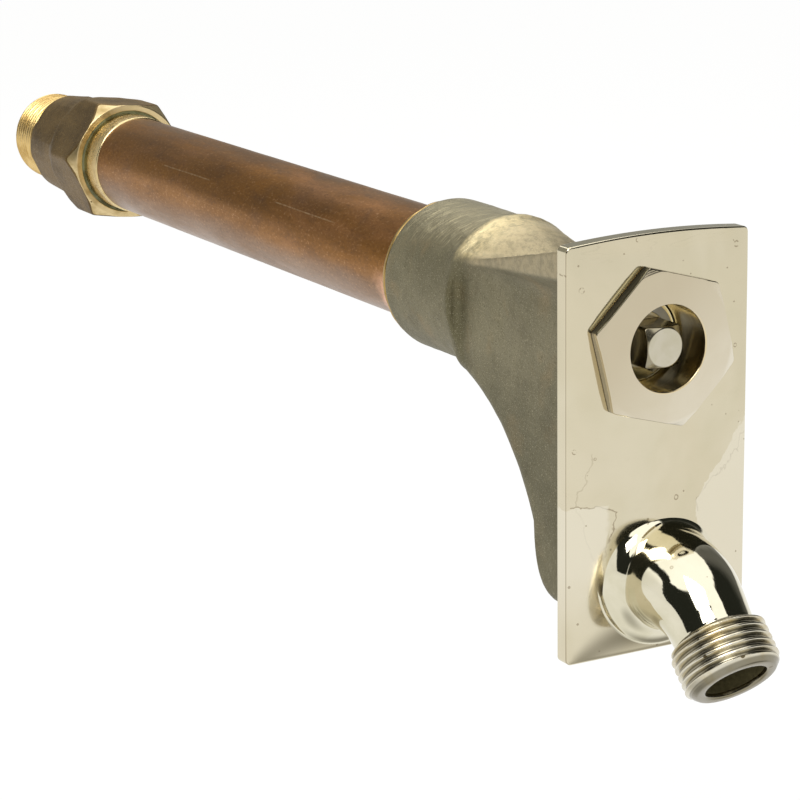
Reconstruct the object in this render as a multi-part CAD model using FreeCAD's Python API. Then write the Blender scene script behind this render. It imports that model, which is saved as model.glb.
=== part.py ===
import FreeCAD
import Part
import math
import os

# Non-freeze wall hydrant, in millimetres.
# X runs to the right as seen from outside, Y runs into the wall and Z runs up.
# The origin is on the stem's axis, in the plane of the face plate's back.
# "at" in a name is a place along Y, and an outline is a list of (y, radius) corners.

# Fits
seat_clearance = 0.1
running_clearance = 0.06
sliding_clearance = 0.3

# Face plate
plate_width = 57.15
plate_corner_height = 29.0
plate_crown = 1.4
plate_drop = 84.7
plate_thickness = 4.6
plate_bulge = 1.4
plate_side_fall = 8.0
plate_end_fall = 8.0
plate_corner_radius = 1.6
plate_edge_radius = 0.5

# Barrel and boss behind the plate
barrel_radius = 18.2
barrel_front_length = 36.0
barrel_waist_radius = 16.8
barrel_waist_start = 42.0
barrel_waist_end = 45.0
boss_radius = 22.9
boss_front_radius = 22.5
boss_shoulder = 69.0
boss_end = 107.5
boss_end_rounding = 3.0
side_flat_half_width = 18.0
shank_seat_depth = 22.0
waterway_radius = 13.0
tube_socket_start = 84.0

# Gussets that spread to the plate's top corners
gusset_start = 64.0
gusset_inset = 1.2
gusset_lower_height = 19.8
gusset_foot_height = 12.0
gusset_valley_half_width = 8.0
gusset_valley_height = 19.0
gusset_tip = 2.5

# Water passage from the barrel down to the spout
duct_back_radius = 60.8
duct_back_centre_at = 89.6
duct_back_centre_drop = 78.6
duct_bottom_drop = 76.8
duct_foot_rounding = 10.0
duct_reach_under_boss = 5.0
duct_corner_radius = 5.0
duct_wall = 3.5
duct_cavity_start = 25.0
duct_cavity_end = 47.0
duct_ceiling_drop = 22.0
duct_flare_length = 12.0
duct_flare_spread = 4.0

# Hose spout
spout_drop = 62.6
spout_tilt = 45.0
spout_root_radius = 15.9
spout_root_cove = 3.9
spout_cove_sink = 0.9
spout_bend_radius = 24.0
spout_reach = 37.7
spout_fall = 20.1
spout_middle_radius = 14.5
spout_bend_end_radius = 12.0
spout_neck_radius = 11.0
spout_bore_radius = 8.6
hose_thread_radius = 13.49
hose_thread_length = 14.3
hose_thread_chamfer = 2.3
hose_thread_runout = 1.6
hose_mouth_radius = 11.2

# Bonnet nut
nut_corner_radius = 22.8
nut_vertex_angle = -16.0
nut_height = 3.2
nut_seat_radius = 17.5
nut_seat_cut = 0.15
nut_vertex_rounding = 1.5
nut_chamfer_radius = 20.5
nut_chamfer_angle = 14.0
nut_dome = 0.4
nut_shank_radius = 15.5
key_hole_radius = 11.8
key_hole_depth = 14.05
nut_web = 4.0
bonnet_o_ring_thickness = 1.8
bonnet_o_ring_gap = 6.0

# Packing
packing_ring_height = 2.5
packing_ring_count = 3
packing_box_radius = 12.0
gland_height = 3.5
thrust_washer_height = 1.5

# Operating stem
stem_radius = 7.94
square_across = 11.1
square_end_radius = 5.2
square_recess = 0.95
square_length = 11.1
collar_radius = 11.5
collar_height = 3.5
stem_thread_radius = 6.2
stem_thread_length = 21.0
clip_radius = 10.4
clip_thickness = 1.2
clip_groove_depth = 0.9

# Operating travel
operating_turns = 3
thread_lead = 3.175
lift = operating_turns * thread_lead

# Drive nut and its guide
drive_nut_across = 20.0
drive_nut_gap = 1.5
stem_tip_gap = 1.0
drive_nut_floor = 1.5
rod_socket_depth = 12.0
guide_radius = 14.4
guide_length = 12.0
guide_overrun = 1.5
guide_slot_count = 6
guide_slot_radius = 2.2
snap_ring_thickness = 1.3
snap_ring_width = 2.2
snap_ring_opening = 60.0

# Casing tube and its adapter
tube_radius = 17.46
tube_wall = 1.4
tube_end = 344.5
braze_ring_width = 1.4
braze_ring_length = 1.2
adapter_spigot_length = 16.5
adapter_bore_radius = 13.5
adapter_collar_radius = 18.0
adapter_collar_length = 12.5
adapter_thread_radius = 15.9
adapter_thread_length = 10.0
gasket_thickness = 1.2

# Inlet coupling
coupling_setback = 7.5
coupling_corner_radius = 24.55
coupling_vertex_angle = -5.7
coupling_hexagon_length = 19.0
coupling_chamfer_radius = 21.2
coupling_chamfer_length = 4.6
coupling_groove_radius = 19.4
coupling_taper_length = 11.0
coupling_vertex_rounding = 2.0
coupling_neck_radius = 20.3
coupling_neck_corner_radius = 21.4
coupling_neck_end_radius = 19.0
coupling_body_length = 55.0
inlet_thread_radius = 16.8
inlet_thread_length = 22.5
inlet_thread_chamfer = 1.5
chamber_radius = 14.0
chamber_length = 19.8
seat_thread_radius = 11.5
seat_socket_length = 10.0
inlet_bore_radius = 9.0
inlet_socket_radius = 12.3
inlet_socket_length = 20.0

# Valve seat and plunger
seat_lip_height = 2.5
seat_lip_radius = 9.5
seat_orifice_radius = 6.5
seat_o_ring_thickness = 1.8
seat_contact_gap = 0.05
washer_radius = 10.2
washer_thickness = 5.5
washer_cup_depth = 4.0
plunger_radius = 11.3
plunger_length = 21.0
plunger_neck_radius = 8.0
plunger_rib_length = 8.0
plunger_rib_width = 3.0
retainer_radius = 5.6
retainer_thickness = 1.5
screw_shank_radius = 2.4
screw_shank_length = 13.0
screw_head_radius = 4.0
screw_head_height = 2.6
screw_slot_width = 1.2
screw_slot_depth = 1.3

# Operating rod
rod_radius = 4.76
rod_in_plunger = 8.0
rod_pin_radius = 1.5
rod_guide_length = 8.0
rod_guide_setback = 54.5
rod_guide_spacing = 110.0
rod_guide_scallop_radius = 8.5
rod_guide_hub = 7.5
guide_pin_radius = 1.2

# Places along Y that follow from the sizes above
plate_middle_at = -plate_thickness - plate_bulge
nut_seat_at = plate_middle_at + nut_seat_cut
nut_front_at = nut_seat_at - nut_height
web_start_at = nut_front_at + key_hole_depth
packing_start_at = web_start_at + nut_web
gland_start_at = packing_start_at + packing_ring_count * packing_ring_height
shank_end_at = gland_start_at + gland_height
collar_start_at = shank_end_at + thrust_washer_height
collar_end_at = collar_start_at + collar_height
stem_tip_at = collar_end_at + stem_thread_length
square_end_at = nut_front_at + square_recess
journal_start_at = square_end_at + square_length
drive_nut_start_at = collar_end_at + lift + drive_nut_gap
drive_bore_end_at = stem_tip_at + lift + stem_tip_gap
rod_start_at = drive_bore_end_at + drive_nut_floor
drive_nut_end_at = rod_start_at + rod_socket_depth
guide_end_at = drive_nut_end_at - lift + guide_overrun
guide_start_at = guide_end_at - guide_length
barrel_bore_radius = guide_radius + seat_clearance
tube_bore_radius = tube_radius - tube_wall
coupling_start = tube_end + coupling_setback
coupling_neck_end = coupling_start + coupling_body_length
inlet_thread_end = coupling_neck_end + inlet_thread_length
collar_ring_end_at = tube_end + adapter_collar_length
adapter_end_at = collar_ring_end_at + gasket_thickness + adapter_thread_length
chamber_end = adapter_end_at + chamber_length
seat_ledge_at = chamber_end + seat_socket_length
seat_front_at = chamber_end - seat_lip_height
washer_face_at = seat_front_at - seat_contact_gap
washer_back_at = washer_face_at - washer_thickness
plunger_end_at = washer_back_at + washer_cup_depth
plunger_start_at = plunger_end_at - plunger_length
rod_end_at = plunger_start_at + rod_in_plunger
rod_front_pin_at = rod_start_at + rod_socket_depth / 2
rod_rear_pin_at = plunger_start_at + rod_in_plunger / 2
rod_guide_places = (tube_end - rod_guide_setback - rod_guide_spacing, tube_end - rod_guide_setback)


def point(x, y, z):
    return FreeCAD.Vector(x, y, z)


def turned(outline):
    """Solid of revolution about Y of a closed outline of (y, radius) corners."""
    corners = [point(radius, y, 0) for y, radius in outline]
    face = Part.Face(Part.makePolygon(corners + corners[:1]))
    return face.revolve(point(0, 0, 0), point(0, 1, 0), 360)


def ring(start, end, inner, outer):
    """Plain ring about Y, or a disc where the inner radius is 0."""
    return turned([(start, inner), (start, outer), (end, outer), (end, inner)])


def cylinder(start, end, radius):
    return Part.makeCylinder(radius, end - start, point(0, start, 0), point(0, 1, 0))


def hexagon(start, end, corner_radius, vertex_angle, rounding=0.0):
    """Hexagonal prism along Y, with its six long edges rounded if asked."""
    angles = [math.radians(vertex_angle + 60 * k) for k in range(6)]
    corners = [point(corner_radius * math.cos(a), start, corner_radius * math.sin(a)) for a in angles]
    face = Part.Face(Part.makePolygon(corners + corners[:1]))
    prism = face.extrude(point(0, end - start, 0))
    if rounding > 0:
        long_edges = [edge for edge in prism.Edges if abs(edge.tangentAt(edge.FirstParameter).y) > 0.99]
        prism = prism.makeFillet(rounding, long_edges)
    return prism


def cross_pin(at, radius, length, direction):
    """Pin square to Y, centred on the axis."""
    start = point(0, at, 0) - direction * (length / 2)
    return Part.makeCylinder(radius, length, start, direction)


def plate_front_place(across, up):
    """Place on the plate's bulging front, where across and up run from -1 to 1 over the plate."""
    middle_height = (plate_corner_height + plate_crown - plate_drop) / 2
    half_height = (plate_corner_height + plate_crown + plate_drop) / 2
    rise = plate_bulge * (1 - abs(across) ** plate_side_fall) * (1 - abs(up) ** plate_end_fall)
    return point(across * plate_width / 2, -plate_thickness - rise, middle_height + up * half_height)


def plate_bulge_block():
    """Block whose front is the plate's bulge, a little wider than the plate all round."""
    columns = 21
    rows = 27
    reach = 1.03
    grid = []
    for row in range(rows):
        up = reach * math.sin(math.pi * (row / (rows - 1) - 0.5))
        line = []
        for column in range(columns):
            across = reach * math.sin(math.pi * (column / (columns - 1) - 0.5))
            line.append(plate_front_place(across, up))
        grid.append(line)
    front = Part.BSplineSurface()
    front.interpolate(grid)
    return front.toShape().extrude(point(0, 2 * plate_thickness, 0))


def face_plate():
    """Plate with an arched top edge, rounded corners and a front that bulges in the middle."""
    half = plate_width / 2
    top_left = point(-half, 0, plate_corner_height)
    top_right = point(half, 0, plate_corner_height)
    crown = point(0, 0, plate_corner_height + plate_crown)
    bottom_left = point(-half, 0, -plate_drop)
    bottom_right = point(half, 0, -plate_drop)
    outline = Part.Wire([
        Part.Arc(top_left, crown, top_right).toShape(),
        Part.makeLine(top_right, bottom_right),
        Part.makeLine(bottom_right, bottom_left),
        Part.makeLine(bottom_left, top_left),
    ])
    plate = Part.Face(outline).extrude(point(0, -plate_thickness - 2 * plate_bulge, 0))
    corners = [edge for edge in plate.Edges if abs(edge.tangentAt(edge.FirstParameter).y) > 0.99]
    plate = plate.makeFillet(plate_corner_radius, corners).common(plate_bulge_block())
    front_edges = [edge for edge in plate.Edges if edge.BoundBox.YMax < -plate_thickness / 2]
    plate = plate.makeFillet(plate_edge_radius, front_edges)
    seat = cylinder(nut_seat_at, 0, nut_seat_radius)
    over_seat = cylinder(plate_middle_at - 1.0, nut_seat_at, nut_corner_radius + seat_clearance)
    return plate.fuse(seat).cut(over_seat)


def barrel():
    """Barrel with a waist that swells into the boss, cut flat on both sides."""
    swell = boss_shoulder - barrel_waist_end
    rise = boss_front_radius - barrel_waist_radius
    waist_start = point(barrel_waist_radius, barrel_waist_start, 0)
    waist_end = point(barrel_waist_radius, barrel_waist_end, 0)
    shoulder = point(boss_front_radius, boss_shoulder, 0)
    poles = [
        waist_end,
        waist_end + point(0.1 * rise, 0.12 * swell, 0),
        waist_end + point(0.85 * rise, 0.42 * swell, 0),
        shoulder,
    ]
    curve = Part.BezierCurve()
    curve.setPoles(poles)
    outline = Part.Wire([
        Part.makeLine(point(0, 0, 0), point(barrel_radius, 0, 0)),
        Part.makeLine(point(barrel_radius, 0, 0), point(barrel_radius, barrel_front_length, 0)),
        Part.makeLine(point(barrel_radius, barrel_front_length, 0), waist_start),
        Part.makeLine(waist_start, waist_end),
        curve.toShape(),
        Part.makeLine(shoulder, point(0, boss_shoulder, 0)),
        Part.makeLine(point(0, boss_shoulder, 0), point(0, 0, 0)),
    ])
    front = Part.Face(outline).revolve(point(0, 0, 0), point(0, 1, 0), 360)
    between_flats = Part.makeBox(
        2 * side_flat_half_width, boss_shoulder, 2 * boss_radius,
        point(-side_flat_half_width, 0, -boss_radius))
    return front.common(between_flats)


def boss():
    """Slightly tapered round boss that takes the tube, with its inner end rounded."""
    boss_solid = turned([
        (boss_shoulder, 0),
        (boss_shoulder, boss_front_radius),
        (boss_end, boss_radius),
        (boss_end, 0),
    ])
    end_edge = [edge for edge in boss_solid.Edges
                if edge.BoundBox.YMin > boss_end - 0.01 and edge.BoundBox.XLength > boss_radius]
    return boss_solid.makeFillet(boss_end_rounding, end_edge)


def duct_back(top_at, wall):
    """Ends and middle of the passage's concave back, inset by a wall."""
    centre = point(0, duct_back_centre_at, -duct_back_centre_drop)
    radius = duct_back_radius + wall
    foot = -duct_bottom_drop + wall
    top_angle = math.asin((duct_back_centre_at - top_at) / radius)
    foot_angle = math.acos((foot + duct_back_centre_drop) / radius)
    places = []
    for angle in (top_angle, (top_angle + foot_angle) / 2, foot_angle):
        places.append(centre + point(0, -math.sin(angle), math.cos(angle)) * radius)
    return places


def duct_body():
    """Flat-sided web under the barrel, rounded along its back and foot."""
    back_at = boss_shoulder + duct_reach_under_boss
    arc_top, arc_middle, arc_foot = duct_back(back_at, 0)
    foot = arc_foot.z
    shoulder_height = math.sqrt(boss_front_radius ** 2 - side_flat_half_width ** 2)
    front_top = point(0, 0, shoulder_height)
    back_top = point(0, back_at, shoulder_height)
    front_foot = point(0, 0, foot)
    outline = Part.Wire([
        Part.makeLine(front_top, back_top),
        Part.makeLine(back_top, arc_top),
        Part.Arc(arc_top, arc_middle, arc_foot).toShape(),
        Part.makeLine(arc_foot, front_foot),
        Part.makeLine(front_foot, front_top),
    ])
    web = Part.Face(outline).extrude(point(2 * side_flat_half_width, 0, 0))
    web.translate(point(-side_flat_half_width, 0, 0))
    foot_edge = [edge for edge in web.Edges
                 if edge.BoundBox.ZMax < foot + 0.01 and edge.BoundBox.YMin > arc_foot.y - 0.01]
    web = web.makeFillet(duct_foot_rounding, foot_edge)
    side_edges = [edge for edge in web.Edges
                  if edge.BoundBox.XLength < 0.01 and edge.BoundBox.YMin > 0.01
                  and edge.BoundBox.ZMax < arc_top.z + 0.01 and edge.BoundBox.ZLength > 0.5]
    side_edges += [edge for edge in web.Edges
                   if edge.BoundBox.XLength < 0.01 and edge.BoundBox.ZMax < foot + 0.01]
    return web.makeFillet(duct_corner_radius, side_edges)


def duct_cavity():
    """Hollow of the water passage, open to the barrel's bore above."""
    arc_top, arc_middle, arc_foot = duct_back(duct_cavity_end, duct_wall)
    top = point(0, duct_cavity_end, 0)
    front_top = point(0, duct_cavity_start, 0)
    ceiling_back = point(0, duct_cavity_start, -duct_ceiling_drop)
    ceiling_front = point(0, duct_wall, -duct_ceiling_drop)
    front_foot = point(0, duct_wall, arc_foot.z)
    outline = Part.Wire([
        Part.makeLine(front_top, top),
        Part.makeLine(top, arc_top),
        Part.Arc(arc_top, arc_middle, arc_foot).toShape(),
        Part.makeLine(arc_foot, front_foot),
        Part.makeLine(front_foot, ceiling_front),
        Part.makeLine(ceiling_front, ceiling_back),
        Part.makeLine(ceiling_back, front_top),
    ])
    half = side_flat_half_width - duct_wall
    cavity = Part.Face(outline).extrude(point(2 * half, 0, 0))
    cavity.translate(point(-half, 0, 0))
    return cavity


def ruled_block(near, far):
    """Solid with flat or ruled sides between two polygons of equal corner count."""
    wires = [Part.makePolygon(corners + corners[:1]) for corners in (near, far)]
    return Part.makeLoft(wires, True, True)


def gusset(side):
    """Wedge from the barrel's shoulder out to one top corner of the plate."""
    half = plate_width / 2 - gusset_inset
    flat = side_flat_half_width
    shoulder_height = math.sqrt(boss_front_radius ** 2 - flat ** 2)
    root_height = shoulder_height - gusset_tip / 4
    low = shoulder_height - gusset_tip
    at_plate = [
        point(side * half, 0, plate_corner_height - gusset_inset),
        point(side * half, 0, gusset_lower_height),
        point(side * flat, 0, gusset_foot_height),
        point(side * flat, 0, root_height),
        point(side * (gusset_valley_half_width + gusset_tip), 0, root_height),
        point(side * gusset_valley_half_width, 0, gusset_valley_height),
    ]
    at_shoulder = [
        point(side * flat, gusset_start, shoulder_height),
        point(side * flat, gusset_start, root_height),
        point(side * flat, gusset_start, low + gusset_tip / 2),
        point(side * (flat - gusset_tip / 3), gusset_start, low + gusset_tip / 4),
        point(side * (flat - gusset_tip), gusset_start, low),
        point(side * (flat - gusset_tip), gusset_start, shoulder_height),
    ]
    return ruled_block(at_plate, at_shoulder)


def duct_flare():
    """Widening of the water passage where it meets the plate."""
    flat = side_flat_half_width
    wide = flat + duct_flare_spread
    foot = -duct_bottom_drop + duct_corner_radius
    at_plate = [point(-wide, 0, 0), point(wide, 0, 0), point(wide, 0, foot), point(-wide, 0, foot)]
    ahead = duct_flare_length
    at_body = [point(-flat, ahead, 0), point(flat, ahead, 0), point(flat, ahead, foot), point(-flat, ahead, foot)]
    return ruled_block(at_plate, at_body)


def spout_path():
    """Corner of the spout's centre line, its two bend ends, the bend's middle and the mouth."""
    tilt = math.radians(spout_tilt)
    outward = point(0, -math.cos(tilt), -math.sin(tilt))
    mouth = point(0, -plate_thickness - spout_reach, -spout_drop - spout_fall)
    corner = point(0, mouth.y + spout_fall / math.tan(tilt), -spout_drop)
    tangent = spout_bend_radius * math.tan(tilt / 2)
    bend_start = corner + point(0, tangent, 0)
    bend_end = corner + outward * tangent
    centre = bend_start + point(0, 0, -spout_bend_radius)
    return outward, mouth, bend_start, bend_end, centre


def spout_section(place, turn, radius):
    """Circle square to the spout's centre line where this has turned down by an angle."""
    circle = Part.makeCircle(radius, point(0, 0, 0), point(0, -1, 0))
    circle.rotate(point(0, 0, 0), point(1, 0, 0), turn)
    circle.translate(place)
    return Part.Wire(circle)


def spout_body():
    """Elbow swept through round sections that shrink from the root to the neck."""
    outward, mouth, bend_start, bend_end, centre = spout_path()
    start = point(0, 0, -spout_drop)
    half_turn = math.radians(spout_tilt / 2)
    bend_middle = centre + point(0, -math.sin(half_turn), math.cos(half_turn)) * spout_bend_radius
    neck_end = mouth - outward * (hose_thread_length - 1.0)
    path = Part.Wire([
        Part.makeLine(start, bend_start),
        Part.Arc(bend_start, bend_middle, bend_end).toShape(),
        Part.makeLine(bend_end, neck_end),
    ])
    sections = [
        spout_section(start, 0, spout_root_radius),
        spout_section(bend_start, 0, spout_root_radius),
        spout_section(bend_middle, spout_tilt / 2, spout_middle_radius),
        spout_section(bend_end, spout_tilt, spout_bend_end_radius),
        spout_section(neck_end, spout_tilt, spout_neck_radius),
    ]
    return path.makePipeShell(sections, True, False)


def spout_cove():
    """Hollow rounding round the spout's root."""
    rim = spout_root_radius + spout_root_cove
    start = plate_middle_at + spout_cove_sink
    corner = point(rim, start, 0)
    tip = point(spout_root_radius, start - spout_root_cove, 0)
    bulge = spout_root_cove * (1 - math.cos(math.radians(45)))
    middle = point(spout_root_radius + bulge, start - bulge, 0)
    inner_front = point(0, start - spout_root_cove, 0)
    inner_back = point(0, start + 1.0, 0)
    outer_back = point(rim, start + 1.0, 0)
    outline = Part.Wire([
        Part.Arc(corner, middle, tip).toShape(),
        Part.makeLine(tip, inner_front),
        Part.makeLine(inner_front, inner_back),
        Part.makeLine(inner_back, outer_back),
        Part.makeLine(outer_back, corner),
    ])
    cove = Part.Face(outline).revolve(point(0, 0, 0), point(0, 1, 0), 360)
    cove.translate(point(0, 0, -spout_drop))
    return cove


def along_spout(solid):
    """Move a piece turned about Y so that its y = 0 lies at the spout's mouth."""
    outward, mouth, bend_start, bend_end, centre = spout_path()
    solid.rotate(point(0, 0, 0), point(1, 0, 0), spout_tilt)
    solid.translate(mouth)
    return solid


def hose_thread():
    """Hose thread's crest cylinder, chamfered at the mouth."""
    return along_spout(turned([
        (0, 0),
        (0, hose_mouth_radius),
        (hose_thread_chamfer, hose_thread_radius),
        (hose_thread_length - hose_thread_runout, hose_thread_radius),
        (hose_thread_length, spout_neck_radius - 0.5),
        (hose_thread_length, 0),
    ]))


def spout_bore():
    """Waterway from the passage through the plate and round the bend to the mouth."""
    outward, mouth, bend_start, bend_end, centre = spout_path()
    start = point(0, duct_wall + 2.0, -spout_drop)
    turn = math.radians(spout_tilt / 2)
    bend_middle = centre + point(0, -math.sin(turn), math.cos(turn)) * spout_bend_radius
    path = Part.Wire([
        Part.makeLine(start, bend_start),
        Part.Arc(bend_start, bend_middle, bend_end).toShape(),
        Part.makeLine(bend_end, mouth + outward),
    ])
    section = Part.Wire(Part.makeCircle(spout_bore_radius, start, point(0, 1, 0)))
    return path.makePipeShell([section], True, False)


def head_bores():
    """Stepped bore from the face to the tube's socket, with the snap ring's groove."""
    shank_bore = nut_shank_radius + seat_clearance
    socket = tube_radius + seat_clearance
    groove = barrel_bore_radius + snap_ring_width / 2
    groove_start = guide_start_at - snap_ring_thickness - seat_clearance
    return turned([
        (plate_middle_at - 1.0, 0),
        (plate_middle_at - 1.0, shank_bore),
        (shank_seat_depth, shank_bore),
        (shank_seat_depth, barrel_bore_radius),
        (groove_start, barrel_bore_radius),
        (groove_start, groove),
        (guide_start_at, groove),
        (guide_start_at, barrel_bore_radius),
        (guide_end_at, barrel_bore_radius),
        (guide_end_at, waterway_radius),
        (tube_socket_start, waterway_radius),
        (tube_socket_start, socket),
        (boss_end + 1.0, socket),
        (boss_end + 1.0, 0),
    ])


def head_casting():
    solid = face_plate()
    for piece in (duct_body(), duct_flare(), barrel(), boss(), gusset(-1), gusset(1),
                  spout_cove(), spout_body(), hose_thread()):
        solid = solid.fuse(piece)
    for hollow in (head_bores(), duct_cavity(), spout_bore()):
        solid = solid.cut(hollow)
    return solid.removeSplitter()


def bonnet_nut():
    """Hexagon with a turned chamfer and a low dome, a deep key hole and a long shank."""
    back_at = nut_seat_at
    top_at = nut_front_at - nut_dome
    head = hexagon(top_at, back_at, nut_corner_radius, nut_vertex_angle, nut_vertex_rounding)
    chamfer_drop = (nut_corner_radius - nut_chamfer_radius) * math.tan(math.radians(nut_chamfer_angle))
    envelope = turned([
        (top_at, 0),
        (top_at, key_hole_radius),
        (nut_front_at, nut_chamfer_radius),
        (nut_front_at + chamfer_drop, nut_corner_radius),
        (back_at, nut_corner_radius),
        (back_at, 0),
    ])
    shank = cylinder(back_at, shank_end_at, nut_shank_radius)
    bores = turned([
        (top_at - 1.0, 0),
        (top_at - 1.0, key_hole_radius),
        (web_start_at, key_hole_radius),
        (web_start_at, stem_radius + running_clearance),
        (packing_start_at, stem_radius + running_clearance),
        (packing_start_at, packing_box_radius),
        (shank_end_at + 1.0, packing_box_radius),
        (shank_end_at + 1.0, 0),
    ])
    groove = ring(bonnet_o_ring_gap, bonnet_o_ring_gap + bonnet_o_ring_thickness + seat_clearance,
                  nut_shank_radius - bonnet_o_ring_thickness, nut_shank_radius + 1.0)
    return head.common(envelope).fuse(shank).cut(bores).cut(groove).removeSplitter()


def bonnet_o_ring():
    """Square-section seal in the groove of the nut's shank."""
    inner = nut_shank_radius - bonnet_o_ring_thickness + seat_clearance / 2
    start = bonnet_o_ring_gap + seat_clearance / 2
    return ring(start, start + bonnet_o_ring_thickness, inner, nut_shank_radius + seat_clearance / 2)


def packing_rings():
    """Three rings one behind the other, each a separate solid."""
    inner = stem_radius + running_clearance
    outer = packing_box_radius - seat_clearance
    rings = []
    for place in range(packing_ring_count):
        start = packing_start_at + place * packing_ring_height
        rings.append(ring(start, start + packing_ring_height - seat_clearance, inner, outer))
    return Part.makeCompound(rings)


def packing_gland():
    inner = stem_radius + running_clearance
    return ring(gland_start_at, shank_end_at, inner, packing_box_radius - seat_clearance)


def thrust_washer():
    inner = stem_radius + running_clearance
    return ring(shank_end_at, collar_start_at - running_clearance, inner, collar_radius)


def operating_stem():
    """Square key end with a turned tip, journal, collar and thread."""
    half = square_across / 2
    square = Part.makeBox(square_across, square_length, square_across, point(-half, square_end_at, -half))
    corner = half * math.sqrt(2)
    tip_length = (corner - square_end_radius) * math.tan(math.radians(35))
    square = square.common(turned([
        (square_end_at, 0),
        (square_end_at, square_end_radius),
        (square_end_at + tip_length, corner),
        (journal_start_at, corner),
        (journal_start_at, 0),
    ]))
    groove_end = web_start_at - running_clearance
    groove_start = groove_end - clip_thickness - running_clearance
    shaft = turned([
        (journal_start_at, 0),
        (journal_start_at, stem_radius),
        (groove_start, stem_radius),
        (groove_start, stem_radius - clip_groove_depth),
        (groove_end, stem_radius - clip_groove_depth),
        (groove_end, stem_radius),
        (collar_start_at, stem_radius),
        (collar_start_at, collar_radius),
        (collar_end_at, collar_radius),
        (collar_end_at, stem_thread_radius),
        (stem_tip_at - 1.0, stem_thread_radius),
        (stem_tip_at, stem_thread_radius - 1.0),
        (stem_tip_at, 0),
    ])
    return square.fuse(shaft).removeSplitter()


def stem_retaining_ring():
    """Clip in the stem's groove, open at the bottom."""
    end = web_start_at - running_clearance
    clip = ring(end - clip_thickness, end, stem_radius - clip_groove_depth + running_clearance, clip_radius)
    gap = Part.makeBox(stem_radius, 2 * clip_thickness, clip_radius,
                       point(-stem_radius / 2, end - 1.5 * clip_thickness, -clip_radius))
    return clip.cut(gap)


def drive_nut():
    """Long hexagon with the stem's thread in front and the rod's socket behind."""
    corner = drive_nut_across / math.sqrt(3)
    body = hexagon(drive_nut_start_at, drive_nut_end_at, corner, 0)
    body = body.cut(cylinder(drive_nut_start_at - 1.0, drive_bore_end_at, stem_thread_radius + running_clearance))
    body = body.cut(cylinder(rod_start_at, drive_nut_end_at + 1.0, rod_radius + seat_clearance))
    hole = cross_pin(rod_front_pin_at, rod_pin_radius + seat_clearance / 2, 2 * drive_nut_across, point(0, 0, 1))
    return body.cut(hole)


def coupling_guide():
    """Ring with a hexagon hole that the drive nut slides in, and water slots at its rim."""
    corner = (drive_nut_across / 2 + running_clearance) / math.cos(math.radians(30))
    guide = cylinder(guide_start_at, guide_end_at, guide_radius)
    guide = guide.cut(hexagon(guide_start_at - 1.0, guide_end_at + 1.0, corner, 0))
    for place in range(guide_slot_count):
        angle = math.radians(30 + 60 * place)
        centre = point(guide_radius * math.cos(angle), guide_start_at - 1.0, guide_radius * math.sin(angle))
        guide = guide.cut(Part.makeCylinder(guide_slot_radius, guide_length + 2.0, centre, point(0, 1, 0)))
    return guide


def guide_snap_ring():
    """Sprung ring in the barrel's groove ahead of the guide, open at the bottom."""
    end = guide_start_at - seat_clearance / 2
    outer = barrel_bore_radius + snap_ring_width / 2 - seat_clearance
    clip = ring(end - snap_ring_thickness, end, outer - snap_ring_width, outer)
    half = outer * math.sin(math.radians(snap_ring_opening / 2))
    gap = Part.makeBox(2 * half, 2 * snap_ring_thickness, outer,
                       point(-half, end - 1.5 * snap_ring_thickness, -outer))
    return clip.cut(gap)


def casing_tube():
    return ring(tube_socket_start + seat_clearance, tube_end, tube_bore_radius, tube_radius)


def front_braze_ring():
    """Sloped bead of braze round the tube at the boss's end."""
    inner = tube_radius + seat_clearance / 2
    return turned([
        (boss_end + seat_clearance, inner),
        (boss_end + seat_clearance, inner + braze_ring_width),
        (boss_end + braze_ring_length, inner + braze_ring_width / 4),
        (boss_end + braze_ring_length, inner),
    ])


def tube_adapter():
    """Spigot in the tube's end, a bright collar and the thread that takes the coupling."""
    spigot_start = tube_end - adapter_spigot_length
    return turned([
        (spigot_start, adapter_bore_radius),
        (spigot_start, tube_bore_radius - seat_clearance),
        (tube_end + seat_clearance, tube_bore_radius - seat_clearance),
        (tube_end + seat_clearance, adapter_collar_radius - 0.5),
        (tube_end + 1.0, adapter_collar_radius),
        (collar_ring_end_at, adapter_collar_radius),
        (collar_ring_end_at, adapter_thread_radius),
        (adapter_end_at, adapter_thread_radius),
        (adapter_end_at, adapter_bore_radius),
    ])


def coupling_gasket():
    start = collar_ring_end_at
    return ring(start, start + gasket_thickness, adapter_thread_radius + seat_clearance, adapter_collar_radius)


def coupling_outside():
    """Hexagon with turned chamfers, a tapered shoulder, a rounded hexagon neck and the male thread."""
    hexagon_end = coupling_start + coupling_hexagon_length
    taper_end = hexagon_end + coupling_taper_length
    envelope = turned([
        (coupling_start, 0),
        (coupling_start, coupling_chamfer_radius),
        (coupling_start + coupling_chamfer_length, coupling_corner_radius),
        (hexagon_end, coupling_corner_radius),
        (taper_end, coupling_neck_radius),
        (taper_end, 0),
    ])
    body = hexagon(coupling_start, taper_end, coupling_corner_radius,
                   coupling_vertex_angle, coupling_vertex_rounding).common(envelope)
    neck = hexagon(hexagon_end, coupling_neck_end, coupling_neck_corner_radius,
                   coupling_vertex_angle, coupling_vertex_rounding)
    neck = neck.common(turned([
        (hexagon_end, 0),
        (hexagon_end, coupling_neck_radius),
        (taper_end, coupling_neck_radius),
        (coupling_neck_end - 1.0, coupling_neck_end_radius),
        (coupling_neck_end, coupling_neck_end_radius - 1.0),
        (coupling_neck_end, 0),
    ]))
    thread = turned([
        (coupling_neck_end - 4.0, 0),
        (coupling_neck_end - 4.0, inlet_thread_radius),
        (inlet_thread_end - inlet_thread_chamfer, inlet_thread_radius),
        (inlet_thread_end, inlet_thread_radius - inlet_thread_chamfer),
        (inlet_thread_end, 0),
    ])
    return body.fuse(neck).fuse(thread)


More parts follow.
